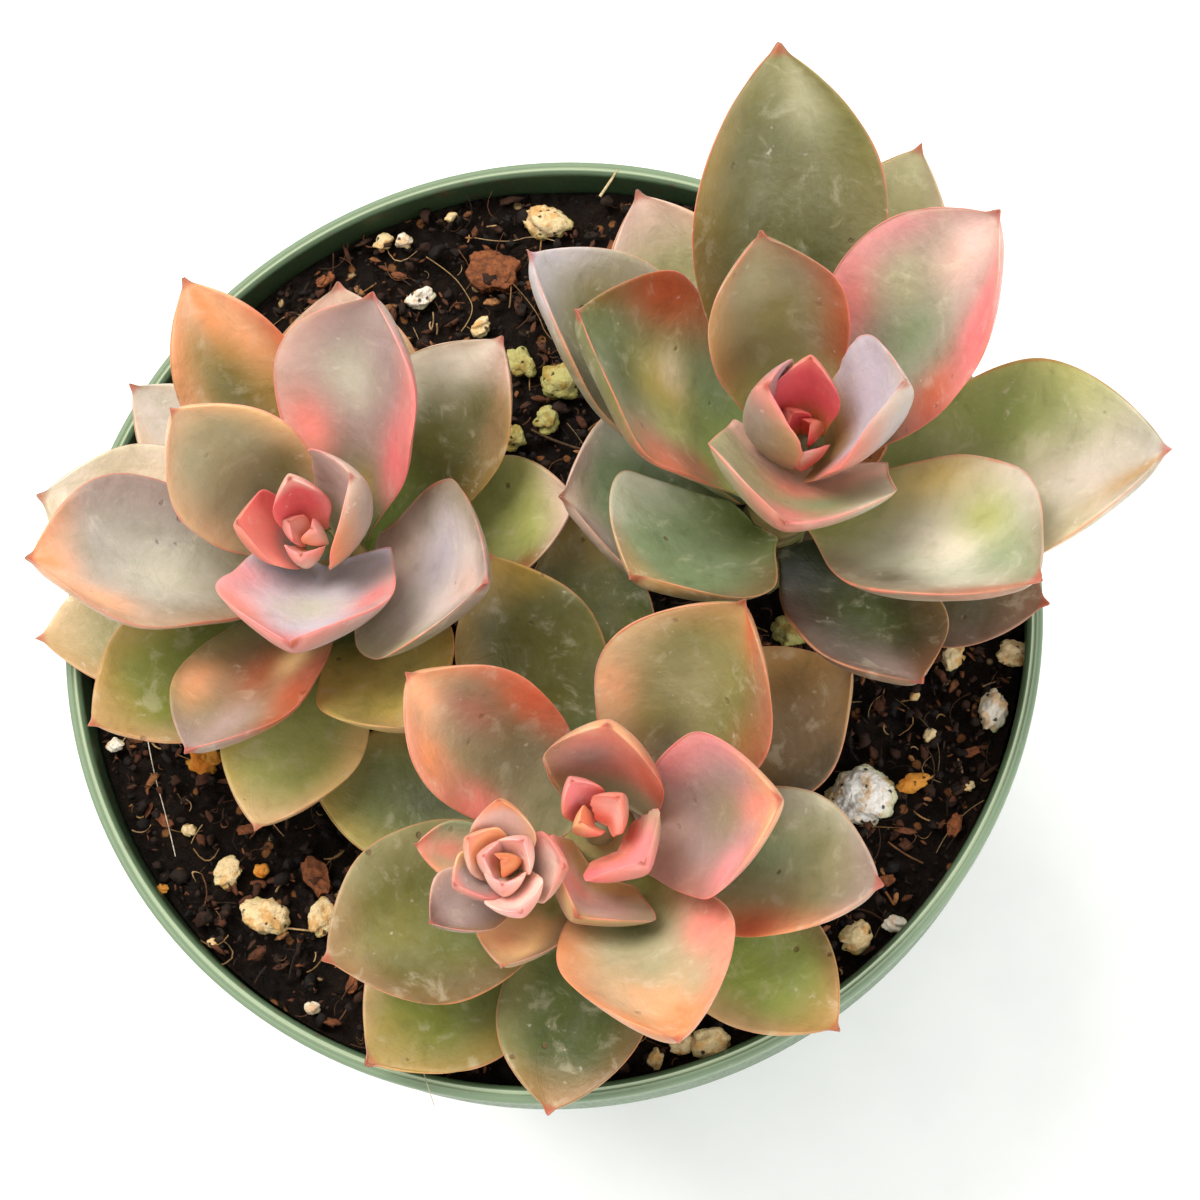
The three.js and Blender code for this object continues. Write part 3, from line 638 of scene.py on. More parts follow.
class SUCCULENT_OT_stage(bpy.types.Operator):
    """Lays the floor, sets the lights and stands the camera over the pot"""
    bl_idname = "succulent.stage"
    bl_label = "Stage"

    def execute(self, context):
        settings = context.scene.succulent_stage
        self.lay_floor(settings)
        self.set_lights(settings)
        self.stand_camera(settings)
        return {"FINISHED"}

    def lay_floor(self, settings):
        deselect()
        bpy.ops.mesh.primitive_plane_add(size=6.0)
        floor = named("Floor")
        material, tree, shader = new_material("Pale floor")
        grain = noise(tree, add(tree, "ShaderNodeTexCoord").outputs["Object"], 90, 3)
        amount = span(tree, grain, 0.3, 0.7, 0.0, 0.25)
        colour = blend(tree, amount, settings.floor_colour[:], (0.86, 0.86, 0.86))
        tree.links.new(colour, shader.inputs["Base Color"])
        shader.inputs["Roughness"].default_value = 0.9
        shader.inputs["Specular IOR Level"].default_value = 0.1
        floor.data.materials.append(material)

    def add_light(self, name, place_at, aim, size, power, colour):
        data = bpy.data.lights.new(name, "AREA")
        data.shape = "DISK"
        data.size = size
        data.energy = power
        data.color = colour
        lamp = bpy.data.objects.new(name, data)
        bpy.context.scene.collection.objects.link(lamp)
        lamp.location = place_at
        lamp.rotation_euler = (Vector(aim) - Vector(place_at)).to_track_quat("-Z", "Y").to_euler()

    def set_lights(self, settings):
        aim = (0.0, 0.0, 0.1)
        self.add_light("Key light", (-0.28, 0.24, 0.85), aim, 0.6, settings.key_power, (1.0, 0.97, 0.92))
        self.add_light("Fill light", (0.60, -0.35, 0.50), aim, 0.60, settings.fill_power, (0.94, 0.97, 1.0))
        world = bpy.data.worlds.new("Room")
        bpy.context.scene.world = world
        world.use_nodes = True
        background = world.node_tree.nodes["Background"]
        background.inputs["Color"].default_value = (1.0, 0.99, 0.97, 1)
        background.inputs["Strength"].default_value = settings.sky

    def stand_camera(self, settings):
        azimuth, elevation, roll = settings.camera_azimuth, settings.camera_elevation, settings.camera_roll
        back = Vector((
            math.sin(azimuth) * math.cos(elevation), -math.cos(azimuth) * math.cos(elevation),
            math.sin(elevation)))
        right = Vector((math.cos(azimuth), math.sin(azimuth), 0))
        up = back.cross(right)
        side = right * math.cos(roll) + up * math.sin(roll)
        top = up * math.cos(roll) - right * math.sin(roll)
        target = Vector((0.0059, 0.0007, 0.092))
        data = bpy.data.cameras.new("Camera")
        data.sensor_width = 36.0
        data.lens = 82.05
        data.clip_start = 0.01
        camera = bpy.data.objects.new("Camera", data)
        bpy.context.scene.collection.objects.link(camera)
        turn = Matrix((side, top, back)).transposed().to_4x4()
        camera.matrix_world = Matrix.Translation(target + back * settings.camera_distance) @ turn
        bpy.context.scene.camera = camera
        bpy.context.scene.view_settings.view_transform = "Standard"


# ---- Pot ----------------------------------------------------------------------------------------------------

class SUCCULENT_OT_pot(bpy.types.Operator):
    """Models the thin-walled nursery pot with its banded rim, ringed lip and drain holes"""
    bl_idname = "succulent.pot"
    bl_label = "Pot"

    wall = 0.9 * MM
    lip_width = 1.8 * MM
    lip_height = 2.0 * MM
    band_height = 12 * MM
    band_step = 0.8 * MM
    base_radius = 38 * MM
    steps = 192

    def execute(self, context):
        settings = context.scene.succulent_pot
        low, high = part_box("pot")
        pot = self.turn_profile(self.profile((high.x - low.x) / 2, high.z, settings))
        self.drill(pot)
        finish_piece(pot, self.plastic(settings), ["pot"])
        take(pot)
        bpy.ops.object.shade_smooth_by_angle(angle=math.radians(40))
        return {"FINISHED"}

    def profile(self, rim, height, settings):
        """Radius and height of each ring, from the middle of the base up the outside and down the inside."""
        wall, lip = self.wall, self.lip_width
        band = rim - lip + wall
        band_bottom = height - self.lip_height - self.band_height
        wall_top = band - self.band_step
        base = self.base_radius
        rings = [(1 * MM, 0), (base - 3.4 * MM, 0), (base - 1.2 * MM, 0), (base - 0.45 * MM, 0.12 * MM),
                 (base, 0.6 * MM)]
        for i in range(1, 9):
            rise = i / 8
            rings.append((base + (wall_top - base) * rise, 0.6 * MM + (band_bottom - 0.9 * MM) * rise))
        lip_bottom = height - self.lip_height
        rings += [(wall_top + 0.25 * MM, band_bottom + 0.05 * MM),
                  (band - 0.15 * MM, band_bottom + self.band_step * 0.7),
                  (band, band_bottom + self.band_step * 1.2), (band, band_bottom + self.band_height / 2),
                  (band, lip_bottom - 0.35 * MM), (band + 0.12 * MM, lip_bottom - 0.1 * MM),
                  (band + 0.4 * MM, lip_bottom), (rim - 0.25 * MM, lip_bottom + 0.05 * MM),
                  (rim, lip_bottom + 0.3 * MM), (rim, height - 0.6 * MM)]
        top = height - 0.14 * MM
        for i in range(1, 5):
            turn = math.radians(90 * i / 4)
            rings.append((rim - 0.45 * MM * (1 - math.cos(turn)), top - 0.45 * MM * (1 - math.sin(turn))))
        inner = rim - lip
        flat = (rim - 0.45 * MM) - (inner + 0.35 * MM)
        for i in range(settings.ridges * 6 + 1):
            share = i / (settings.ridges * 6)
            wave = 0.5 - 0.5 * math.cos(share * settings.ridges * 2 * math.pi)
            rings.append((rim - 0.5 * MM - (flat - 0.05 * MM) * share, top + settings.ridge_height * wave))
        for i in range(1, 5):
            turn = math.radians(90 * i / 4)
            rings.append((inner + 0.35 * MM * (1 - math.sin(turn)), top - 0.35 * MM * (1 - math.cos(turn))))
        inside = self.base_radius + (wall_top - base) - wall
        rings += [(inner, height - 2 * MM), (inner, band_bottom + 1.8 * MM), (inside, band_bottom),
                  (base - wall + (inside - base + wall) * 0.04, 3.2 * MM), (base - 1.9 * MM, 1.2 * MM),
                  (base - 3 * MM, wall), (1 * MM, wall)]
        return rings

    def turn_profile(self, rings):
        deselect()
        bpy.ops.mesh.primitive_circle_add(vertices=self.steps, radius=rings[0][0], location=(0, 0, 0))
        pot = named("Pot")
        bpy.ops.object.mode_set(mode="EDIT")
        bpy.ops.mesh.select_all(action="SELECT")
        radius, height = rings[0]
        for next_radius, next_height in rings[1:]:
            grow = next_radius / radius
            bpy.ops.mesh.extrude_edges_move()
            bpy.ops.transform.resize(value=(grow, grow, 1), center_override=(0, 0, height))
            bpy.ops.transform.translate(value=(0, 0, next_height - height))
            radius, height = next_radius, next_height
        bpy.ops.mesh.edge_face_add()
        bpy.ops.mesh.select_all(action="DESELECT")
        bpy.ops.mesh.select_non_manifold()
        bpy.ops.mesh.edge_face_add()
        bpy.ops.mesh.select_all(action="SELECT")
        bpy.ops.mesh.normals_make_consistent(inside=False)
        bpy.ops.object.mode_set(mode="OBJECT")
        return pot

    def drill(self, pot):
        cutters = []
        for i in range(6):
            angle = (i + 0.5) / 6 * 2 * math.pi
            deselect()
            reach = self.base_radius - 7 * MM
            bpy.ops.mesh.primitive_cylinder_add(
                vertices=48, radius=3 * MM, depth=6 * MM, rotation=(0, 0, angle + math.pi / 48),
                location=(reach * math.cos(angle), reach * math.sin(angle), 0))
            cutters.append(named(f"Drain_cutter_{i}"))
        cutter = join(cutters, "Drain_cutter")
        modify(pot, "BOOLEAN", operation="DIFFERENCE", object=cutter, solver="EXACT")
        bpy.data.objects.remove(cutter)

    def plastic(self, settings):
        """Streaked plastic with a paler lip carrying a painted highlight line, an inner wall darkened as
        painted shade, and soil dust inside and at the foot.
        """
        material, tree, shader = new_material("Pot plastic")
        where = add(tree, "ShaderNodeTexCoord").outputs["Object"]
        flow = noise(tree, stretched(tree, where, (1, 1, 0.15)), 60, 3, 0.5)
        grain = noise(tree, where, 1800, 4, 0.6)
        colour = settings.colour[:]
        dark = tuple(c * 0.86 for c in colour)
        body = blend(tree, span(tree, flow, 0.35, 0.65), dark, colour)
        apart = add(tree, "ShaderNodeSeparateXYZ", {0: where}).outputs
        squares = maths(tree, "ADD", times(tree, apart[0], apart[0]), times(tree, apart[1], apart[1]))
        out, up = maths(tree, "POWER", squares, 0.5), apart[2]

        low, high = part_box("pot")
        edge = (high.x - low.x) / 2 - self.lip_width
        shoulder = high.z - self.lip_height - self.band_height
        lip = times(tree, span(tree, up, high.z - 2.2 * MM, high.z - 0.8 * MM),
                    span(tree, out, edge + 0.3 * MM, edge + 0.6 * MM))
        body = blend(tree, times(tree, lip, 0.9), body, linear("75886c"))
        # Painted highlight: a thin bright line along the inner edge of the lip.
        line = times(tree, span(tree, out, edge + 0.4 * MM, edge + 0.6 * MM),
                     span(tree, out, edge + 0.8 * MM, edge + 1.1 * MM, 1.0, 0.0))
        body = blend(tree, times(tree, times(tree, lip, line), 0.7), body, linear("b4c2a4"))
        above = span(tree, up, shoulder + 1.8 * MM, shoulder + 2.6 * MM)
        # Painted shade: the inner wall above the soil is darkened towards a third of the plastic's colour.
        throat_painted_shade = times(tree, above, span(tree, out, edge + 0.2 * MM, edge + 0.5 * MM, 0.65, 0.0))
        body = blend(tree, throat_painted_shade, body, tuple(c * 0.3 for c in colour))
        inside = times(tree, above, span(tree, out, edge + 0.2 * MM, edge + 0.6 * MM, 1.0, 0.0))
        foot = span(tree, up, 0.0, 20 * MM, 0.3, 0.06)
        dusty = maths(tree, "MAXIMUM", times(tree, inside, 0.9), foot)
        soil_dust = times(tree, span(tree, noise(tree, where, 420, 5, 0.7), 0.54, 0.72), dusty)
        body = blend(tree, soil_dust, body, linear("4a3a2a"))
        scuffs = noise(tree, stretched(tree, where, (1, 1, 9)), 220, 4, 0.7)
        body = blend(tree, span(tree, scuffs, 0.66, 0.78, 0.0, 0.3), body, linear("b8ccb6"))
        tree.links.new(body, shader.inputs["Base Color"])
        tree.links.new(span(tree, grain, 0.3, 0.7, 0.38, 0.55), shader.inputs["Roughness"])
        bump(tree, shader, maths(tree, "ADD", grain, times(tree, flow, 2.0)), 0.00008, 0.4)
        shader.inputs["Specular IOR Level"].default_value = 0.45
        return material


# ---- Soil and what lies on it -------------------------------------------------------------------------------

def soil_height(x, y):
    """Height of the soil before its clods, a slow rise and fall, at points in metres."""
    x, y = np.asarray(x) / MM, np.asarray(y) / MM
    wave = np.sin(x * 0.21 + 1) * np.cos(y * 0.17) + 0.5 * np.sin(x * 0.47 - y * 0.39)
    return (88 + wave / 3) * MM


class SUCCULENT_OT_soil(bpy.types.Operator):
    """Models the body of moist peat with its clodded surface"""
    bl_idname = "succulent.soil"
    bl_label = "Soil"

    def execute(self, context):
        settings = context.scene.succulent_soil
        low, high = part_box("soil")
        radius = (high.x - low.x) / 2
        deselect()
        bpy.ops.mesh.primitive_grid_add(x_subdivisions=230, y_subdivisions=230, size=2)
        soil = named("Soil")
        co = positions(soil.data)
        x, y = co[:, 0].copy(), co[:, 1].copy()
        co[:, 0] = x * np.sqrt(1 - y * y / 2) * radius
        co[:, 1] = y * np.sqrt(1 - x * x / 2) * radius
        co[:, 2] = soil_height(co[:, 0], co[:, 1])
        place(soil.data, co)
        surface = soil.vertex_groups.new(name="Surface")
        reach = np.hypot(co[:, 0], co[:, 1])
        surface.add([int(i) for i in np.nonzero(reach < radius - 0.4 * MM)[0]], 1.0, "REPLACE")
        bpy.ops.object.mode_set(mode="EDIT")
        bpy.ops.mesh.select_all(action="DESELECT")
        bpy.ops.mesh.select_non_manifold()
        height = 88 * MM
        for next_radius, next_height in ((radius * 0.955, 74 * MM), (36.6 * MM, 3 * MM), (35 * MM, low.z)):
            bpy.ops.mesh.extrude_edges_move()
            grow = next_radius / radius
            bpy.ops.transform.resize(value=(grow, grow, 1), center_override=(0, 0, height))
            bpy.ops.transform.translate(value=(0, 0, next_height - height))
            radius, height = next_radius, next_height
        bpy.ops.mesh.edge_face_add()
        bpy.ops.mesh.select_all(action="SELECT")
        bpy.ops.mesh.normals_make_consistent(inside=False)
        bpy.ops.object.mode_set(mode="OBJECT")
        relief = settings.relief
        swell(soil, lumps("Clods", "CLOUDS", 7 * MM, noise_depth=2), relief, "Surface")
        small = lumps("Small clods", "CLOUDS", 2.4 * MM, noise_depth=3, noise_type="HARD_NOISE")
        swell(soil, small, relief * 0.7, "Surface")
        swell(soil, lumps("Soil grain", "CLOUDS", 0.9 * MM, noise_depth=2), relief * 0.35, "Surface")
        finish_piece(soil, soil_material(settings), ["soil"])
        return {"FINISHED"}


def soil_material(settings):
    """Moist peat: nearly black, with red-brown and tan flecks and a damp gloss on some clods."""
    material, tree, shader = new_material("Potting soil")
    where = add(tree, "ShaderNodeTexCoord").outputs["Object"]
    clods = noise(tree, where, 260, 5, 0.6)
    crumbs = noise(tree, where, 1300, 5, 0.7)
    colour = settings.colour[:]
    body = blend(tree, span(tree, clods, 0.3, 0.7), tuple(c * 0.35 for c in colour), colour)
    body = blend(tree, span(tree, crumbs, 0.56, 0.72, 0.0, 0.6), body, linear("4a2f1d"))
    cells = add(tree, "ShaderNodeTexVoronoi", {"Vector": where, "Scale": 620.0}, feature="F1")
    chance = add(tree, "ShaderNodeSeparateColor", {0: cells.outputs["Color"]}).outputs[0]
    fleck = span(tree, cells.outputs["Distance"], 0.25, 0.4, 1.0, 0.0)
    body = blend(tree, times(tree, fleck, maths(tree, "GREATER_THAN", chance, 0.9)), body, linear("8a5a34"))
    body = blend(tree, times(tree, fleck, maths(tree, "LESS_THAN", chance, 0.03)), body, linear("b89a6c"))
    tree.links.new(body, shader.inputs["Base Color"])
    tree.links.new(span(tree, clods, 0.35, 0.7, 0.55, 0.95), shader.inputs["Roughness"])
    bump(tree, shader, maths(tree, "ADD", crumbs, clods), 0.0008, 1.0)
    shader.inputs["Specular IOR Level"].default_value = 0.15
    return material


def tinted_material(name, rough, relief, grain_scale, darker=0.6, specular=0.3):
    """A dry, grainy finish over the colour stored on each bit."""
    material, tree, shader = new_material(name)
    where = add(tree, "ShaderNodeTexCoord").outputs["Object"]
    stored = add(tree, "ShaderNodeAttribute", attribute_name="tint").outputs["Color"]
    grain = noise(tree, where, grain_scale, 5, 0.65)
    deep = blend(tree, 1.0, stored, (darker, darker * 0.95, darker * 0.88), "MULTIPLY")
    tree.links.new(blend(tree, span(tree, grain, 0.35, 0.65), deep, stored), shader.inputs["Base Color"])
    tree.links.new(span(tree, grain, 0.3, 0.7, rough, min(rough + 0.25, 1.0)), shader.inputs["Roughness"])
    bump(tree, shader, grain, relief, 0.8)
    shader.inputs["Specular IOR Level"].default_value = specular
    return material


def perlite_material():
    """Expanded perlite: chalky white with orange-brown stains and open pits painted dark as painted shade."""
    material, tree, shader = new_material("Perlite")
    where = add(tree, "ShaderNodeTexCoord").outputs["Object"]
    stored = add(tree, "ShaderNodeAttribute", attribute_name="tint").outputs["Color"]
    stain = noise(tree, where, 560, 5, 0.65)
    fine = noise(tree, where, 2400, 4, 0.7)
    pits = add(tree, "ShaderNodeTexVoronoi", {"Vector": where, "Scale": 1150.0}, feature="F1")
    chance = add(tree, "ShaderNodeSeparateColor", {0: pits.outputs["Color"]}).outputs[0]
    ragged = maths(tree, "ADD", pits.outputs["Distance"], times(tree, fine, 0.4))
    rare = maths(tree, "GREATER_THAN", chance, 0.82)
    hole = times(tree, span(tree, ragged, 0.4, 0.52, 1.0, 0.0), rare)
    worn = blend(tree, 1.0, stored, (0.78, 0.5, 0.22), "MULTIPLY")
    body = blend(tree, span(tree, stain, 0.48, 0.62, 0.0, 0.75), stored, worn)
    body = blend(tree, span(tree, fine, 0.6, 0.75, 0.0, 0.3), body, worn)
    # Painted shade: the open pits are painted nearly black for the shade inside them.
    body = blend(tree, times(tree, hole, 0.9), body, linear("2e2118"))
    tree.links.new(body, shader.inputs["Base Color"])
    shader.inputs["Roughness"].default_value = 0.95
    shader.inputs["Specular IOR Level"].default_value = 0.2
    height = maths(tree, "SUBTRACT", maths(tree, "ADD", fine, stain), times(tree, hole, 1.2))
    bump(tree, shader, height, 0.0004, 0.9)
    return material


def grain_of_perlite(name, centre, half, turn, colour, detail, seed, flats=7):
    """A lumpy, pitted grain with these half sizes, darker and yellower towards its foot."""
    deselect()
    bpy.ops.mesh.primitive_ico_sphere_add(subdivisions=detail, radius=1)
    grain = named(name)
    co = positions(grain.data)
    draw = np.random.RandomState(seed)
    for _ in range(flats):
        facing = draw.normal(size=3)
        facing /= np.linalg.norm(facing)
        depth = draw.uniform(0.66, 0.9)
        over = np.clip(co @ facing - depth, 0, None)
        co -= np.outer(over * 0.8, facing)
    for row in draw.uniform(2.5, 6.5, (5, 3)):
        co *= (1 + 0.045 * np.sin(co @ row + draw.uniform(0, 6)))[:, None]
    rim = np.clip((np.hypot(co[:, 0], co[:, 1]) - 0.72) / 0.25, 0, 1) * np.clip(0.6 - co[:, 2], 0, 1)
    c, s = math.cos(turn), math.sin(turn)
    co = co * np.array(half)
    co = co @ np.array(((c, s, 0), (-s, c, 0), (0, 0, 1)))
    place(grain.data, co + np.array(centre))
    coarse, fine = (0.3, 0.16) if detail < 6 else (0.14, 0.035)
    swell(grain, lumps("Perlite lumps", "CLOUDS", 0.8 * MM, noise_depth=2), max(half) * coarse)
    swell(grain, lumps("Perlite pits", "CLOUDS", 0.35 * MM, noise_depth=2), max(half) * fine)
    shades = np.array(colour) * (1 - rim[:, None] * np.array((0.3, 0.22, 0.55)))
    tint(grain.data, shades)
    return grain


def chip_of_bark(name, centre, half, turn, seed):
    """A thin split flake of bark, grooved lengthwise."""
    deselect()
    bpy.ops.mesh.primitive_cube_add(size=2)
    chip = named(name)
    bpy.ops.object.mode_set(mode="EDIT")
    bpy.ops.mesh.select_all(action="SELECT")
    bpy.ops.mesh.subdivide(number_cuts=9)
    bpy.ops.object.mode_set(mode="OBJECT")
    draw = np.random.RandomState(seed)
    co = positions(chip.data)
    ends = 1 - 0.28 * np.abs(co[:, 0]) ** 2 * (1 + 0.4 * np.sin(co[:, 1] * 5 + seed))
    co[:, 1] *= ends * (1 + 0.12 * np.sin(co[:, 0] * 4 + draw.uniform(0, 6)))
    co[:, 0] *= 1 - 0.2 * np.abs(co[:, 1]) ** 2 + 0.09 * np.sin(co[:, 1] * 7 + draw.uniform(0, 6))
    co[:, 2] *= 1 - 0.45 * np.abs(co[:, 1]) ** 2
    co[:, 2] += 0.16 * np.sin(co[:, 1] * 9 + co[:, 0] * 1.5 + draw.uniform(0, 6))
    c, s = math.cos(turn), math.sin(turn)
    co = co * np.array(half) @ np.array(((c, s, 0), (-s, c, 0), (0, 0, 1)))
    place(chip.data, co + np.array(centre))
    subdivide(chip, 1)
    grain = lumps("Bark grain", "CLOUDS", 0.7 * MM, noise_depth=3, noise_type="HARD_NOISE")
    swell(chip, grain, max(half) * 0.16)
    base = np.array(linear("9a5a34")) * draw.uniform(0.6, 1.05)
    # Painted shade and light: each flake is darker towards its underside and lighter towards its top.
    rise = np.clip((positions(chip.data)[:, 2] - centre[2]) / half[2], -1, 1)
    tint(chip.data, base * (0.75 + 0.35 * rise)[:, None])
    return chip


class SUCCULENT_OT_perlite(bpy.types.Operator):
    """Models the large perlite grain and the small ones strewn over the soil"""
    bl_idname = "succulent.perlite"
    bl_label = "Perlite"

    def execute(self, context):
        material = perlite_material()
        low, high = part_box("perlite_grain")
        half = (high - low) / 2 * 0.98
        large = grain_of_perlite("Perlite_grain", (low + high) / 2, half, 0.0, linear("f6f0e8"), 6, 5, 3)
        self.soil(large, (low + high) / 2, half)
        finish_piece(large, material, ["perlite_grain"])
        small = []
        for i, (x, y, size, stretch, turn, colour) in enumerate(GRAINS):
            half = (size / 2 * stretch * MM, size / 2 * MM, size * 0.42 * MM)
            centre = (x * MM, y * MM, float(soil_height(x * MM, y * MM)) + size * 0.22 * MM + 0.5 * MM)
            shade = GRAIN_COLOURS[colour]
            small.append(grain_of_perlite(f"Grain_{i}", centre, half, math.radians(turn), shade, 4, 20 + i))
        finish_piece(join(small, "Perlite_strewn"), material)
        return {"FINISHED"}

    def soil(self, grain, centre, half):
        """Rubs damp peat into the lower left of the large grain."""
        co = (positions(grain.data) - np.array(centre)) / np.array(half)
        shades = np.repeat(np.array(linear("f6f0e8"))[None], len(co), 0)
        edge = smooth(np.hypot(co[:, 0], co[:, 1]), 0.72, 1.0)[:, None]
        shades += (np.array(linear("c4c47e")) - shades) * edge * 0.6
        dirt = np.exp(-(((co[:, 0] + 0.32) / 0.24) ** 2 + ((co[:, 1] + 0.48) / 0.22) ** 2))
        dirt *= 0.6 + 0.4 * np.sin(co[:, 0] * 17) * np.sin(co[:, 1] * 15 + 1)
        shades += (np.array(linear("5a3c30")) - shades) * np.clip(dirt, 0, 0.6)[:, None]
        tint(grain.data, shades)


class SUCCULENT_OT_bark(bpy.types.Operator):
    """Models the bark chip and the smaller flakes of bark on the soil"""
    bl_idname = "succulent.bark"
    bl_label = "Bark"

    def execute(self, context):
        material = tinted_material("Bark", 0.65, 0.0005, 1500, 0.45)
        low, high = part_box("bark_chip")
        half = (high - low) / 2
        chip = chip_of_bark("Bark_chip", (low + high) / 2, half * 0.94, math.radians(-12), 3)
        finish_piece(chip, material, ["bark_chip"])
        flakes = []
        for i, (x, y, length, turn, stand) in enumerate(BARK_BITS):
            half = (length / 2 * MM, length * 0.3 * MM, length * 0.16 * MM)
            centre = (x * MM, y * MM, float(soil_height(x * MM, y * MM)) + stand * MM)
            flakes.append(chip_of_bark(f"Flake_{i}", centre, half, math.radians(turn), 40 + i))
        finish_piece(join(flakes, "Bark_flakes"), material)
        return {"FINISHED"}


class SUCCULENT_OT_litter(bpy.types.Operator):
    """Strews crumbs of peat and short straws over the soil, and lays the fine roots"""
    bl_idname = "succulent.litter"
    bl_label = "Crumbs, straws and roots"

    peat = ("140e0a", "1c130d", "241810", "2c1c12", "341f14", "20160f", "3c2416", "5a3420")
    torn = ("3c2416", "5a3420", "6e4026", "7e4a2c", "4a2e1c", "8e5a34", "54301e", "a87448")
    straws = ("2c1c12", "5a3a22", "7c5230", "3a2818", "a07a4c", "6a4228", "4a2e1c", "b8966a")

    def execute(self, context):
        settings = context.scene.succulent_soil
        radius = (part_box("soil")[1].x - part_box("soil")[0].x) / 2 - 0.6 * MM
        material = tinted_material("Soil crumbs", 0.7, 0.0003, 1800, 0.5)
        draw = np.random.RandomState(11)
        for name, model, count, sizes, colours, dents, bend in (
                ("Soil_crumbs", self.crumb, settings.crumbs, self.crumb_size, self.peat, 0.26, 0),
                ("Bark_shreds", self.crumb, settings.shreds, self.shred_size, self.torn, 0.26, 0),
                ("Soil_fibres", self.straw, settings.fibres, self.straw_size, self.straws, 0, 0.5)):
            piece = self.strew(name, model(), count, radius, draw, sizes, colours, dents, bend)
            finish_piece(piece, material)
        finish_piece(self.roots(), material)
        return {"FINISHED"}

    def crumb(self):
        deselect()
        bpy.ops.mesh.primitive_uv_sphere_add(segments=7, ring_count=5, radius=1)
        return named("Crumb")

    def straw(self):
        deselect()
        bpy.ops.mesh.primitive_cylinder_add(vertices=5, radius=1, depth=2)
        straw = named("Straw")
        bpy.ops.object.mode_set(mode="EDIT")
        for height in (-0.6, -0.2, 0.2, 0.6):
            bpy.ops.mesh.select_all(action="SELECT")
            bpy.ops.mesh.bisect(plane_co=(0, 0, height), plane_no=(0, 0, 1))
        bpy.ops.object.mode_set(mode="OBJECT")
        co = positions(straw.data)
        place(straw.data, co[:, [2, 0, 1]])
        return straw

    def crumb_size(self, draw, count):
        size = 0.18 + 0.62 * draw.random_sample(count) ** 3
        return np.stack([size * draw.uniform(0.7, 1.5, count), size * draw.uniform(0.6, 1.1, count),
                         size * draw.uniform(0.4, 0.9, count)], 1) * MM

    def shred_size(self, draw, count):
        length = 0.3 + 0.9 * draw.random_sample(count) ** 2
        width, thick = draw.uniform(0.25, 0.5, count), draw.uniform(0.1, 0.25, count)
        return np.stack([length, length * width, length * thick], 1) * MM

    def straw_size(self, draw, count):
        length = 0.4 + 2.4 * draw.random_sample(count) ** 2
        thick = draw.uniform(0.03, 0.12, count)
        return np.stack([length, thick, thick * draw.uniform(0.5, 1.0, count)], 1) * MM

    def strew(self, name, model, count, radius, draw, sizes, colours_of, dents, bend):
        """Copies of one small model in one piece, each with its own size, lean, dents, bend and colour."""
        shape = positions(model.data)
        faces = np.array([list(p.vertices) for p in model.data.polygons if len(p.vertices) == 3])
        quads = [list(p.vertices) for p in model.data.polygons if len(p.vertices) > 3]
        reach = radius * np.sqrt(draw.random_sample(count))
        angle = draw.uniform(0, 2 * np.pi, count)
        x, y = reach * np.cos(angle), reach * np.sin(angle)
        size = sizes(draw, count)
        lean = draw.normal(0, 0.35, (count, 2))
        turn = draw.uniform(0, 2 * np.pi, count)
        shades = np.array([linear(code) for code in colours_of])
        curl = draw.normal(0, 1, (count, 2)) * bend
        pick = shades[draw.randint(0, len(shades), count)] * draw.uniform(0.7, 1.2, (count, 1))
        all_co, all_faces, colours = [], [], []
        for i in range(count):
            co = shape * (1 + dents * draw.normal(size=(len(shape), 1))) * size[i]
            along = co[:, 0] / size[i, 0]
            co[:, 1] += curl[i, 0] * size[i, 0] * along ** 2
            co[:, 2] += abs(curl[i, 1]) * size[i, 0] * 0.6 * along ** 2
            c, s = np.cos(turn[i]), np.sin(turn[i])
            spin = np.array(((c, s, 0), (-s, c, 0), (0, 0, 1)))
            tip = np.array(((1, 0, lean[i, 0]), (0, 1, lean[i, 1]), (-lean[i, 0], -lean[i, 1], 1)))
            co = co @ tip @ spin
            co += (x[i], y[i], soil_height(x[i], y[i]) + size[i, 2] * 0.4 + draw.uniform(0.2, 1.1) * MM)
            start = i * len(shape)
            all_co.append(co)
            all_faces += (faces + start).tolist() if len(faces) else []
            all_faces += [[v + start for v in quad] for quad in quads]
            colours.append(np.repeat(pick[i:i + 1], len(shape), 0))
        bpy.data.objects.remove(model)
        mesh = bpy.data.meshes.new(name)
        mesh.from_pydata(np.concatenate(all_co).tolist(), [], all_faces)
        piece = bpy.data.objects.new(name, mesh)
        bpy.context.scene.collection.objects.link(piece)
        tint(mesh, np.concatenate(colours))
        return piece

    def roots(self):
        made = []
        for i, (points, lift, thick, colour) in enumerate(ROOTS):
            curve = bpy.data.curves.new(f"Root_{i}", "CURVE")
            curve.dimensions = "3D"
            curve.bevel_depth = thick / 2 * MM
            curve.bevel_resolution = 2
            curve.use_fill_caps = True
            spline = curve.splines.new("NURBS")
            spline.points.add(len(points) - 1)
            draw = random.Random(i)
            for point, (x, y) in zip(spline.points, points):
                x, y = x * MM, y * MM
                height = float(soil_height(x, y)) + (lift + draw.uniform(0, 0.6)) * MM
                point.co = (x, y, height, 1)
                point.radius = draw.uniform(0.6, 1.1)
            spline.use_endpoint_u = True
            spline.order_u = 3
            spline.resolution_u = 12
            piece = bpy.data.objects.new(f"Root_{i}", curve)
            bpy.context.scene.collection.objects.link(piece)
            take(piece)
            bpy.ops.object.convert(target="MESH")
            tint(piece.data, np.array(linear(colour)))
            made.append(piece)
        return join(made, "Fine_roots")


# ---- Stems --------------------------------------------------------------------------------------------------

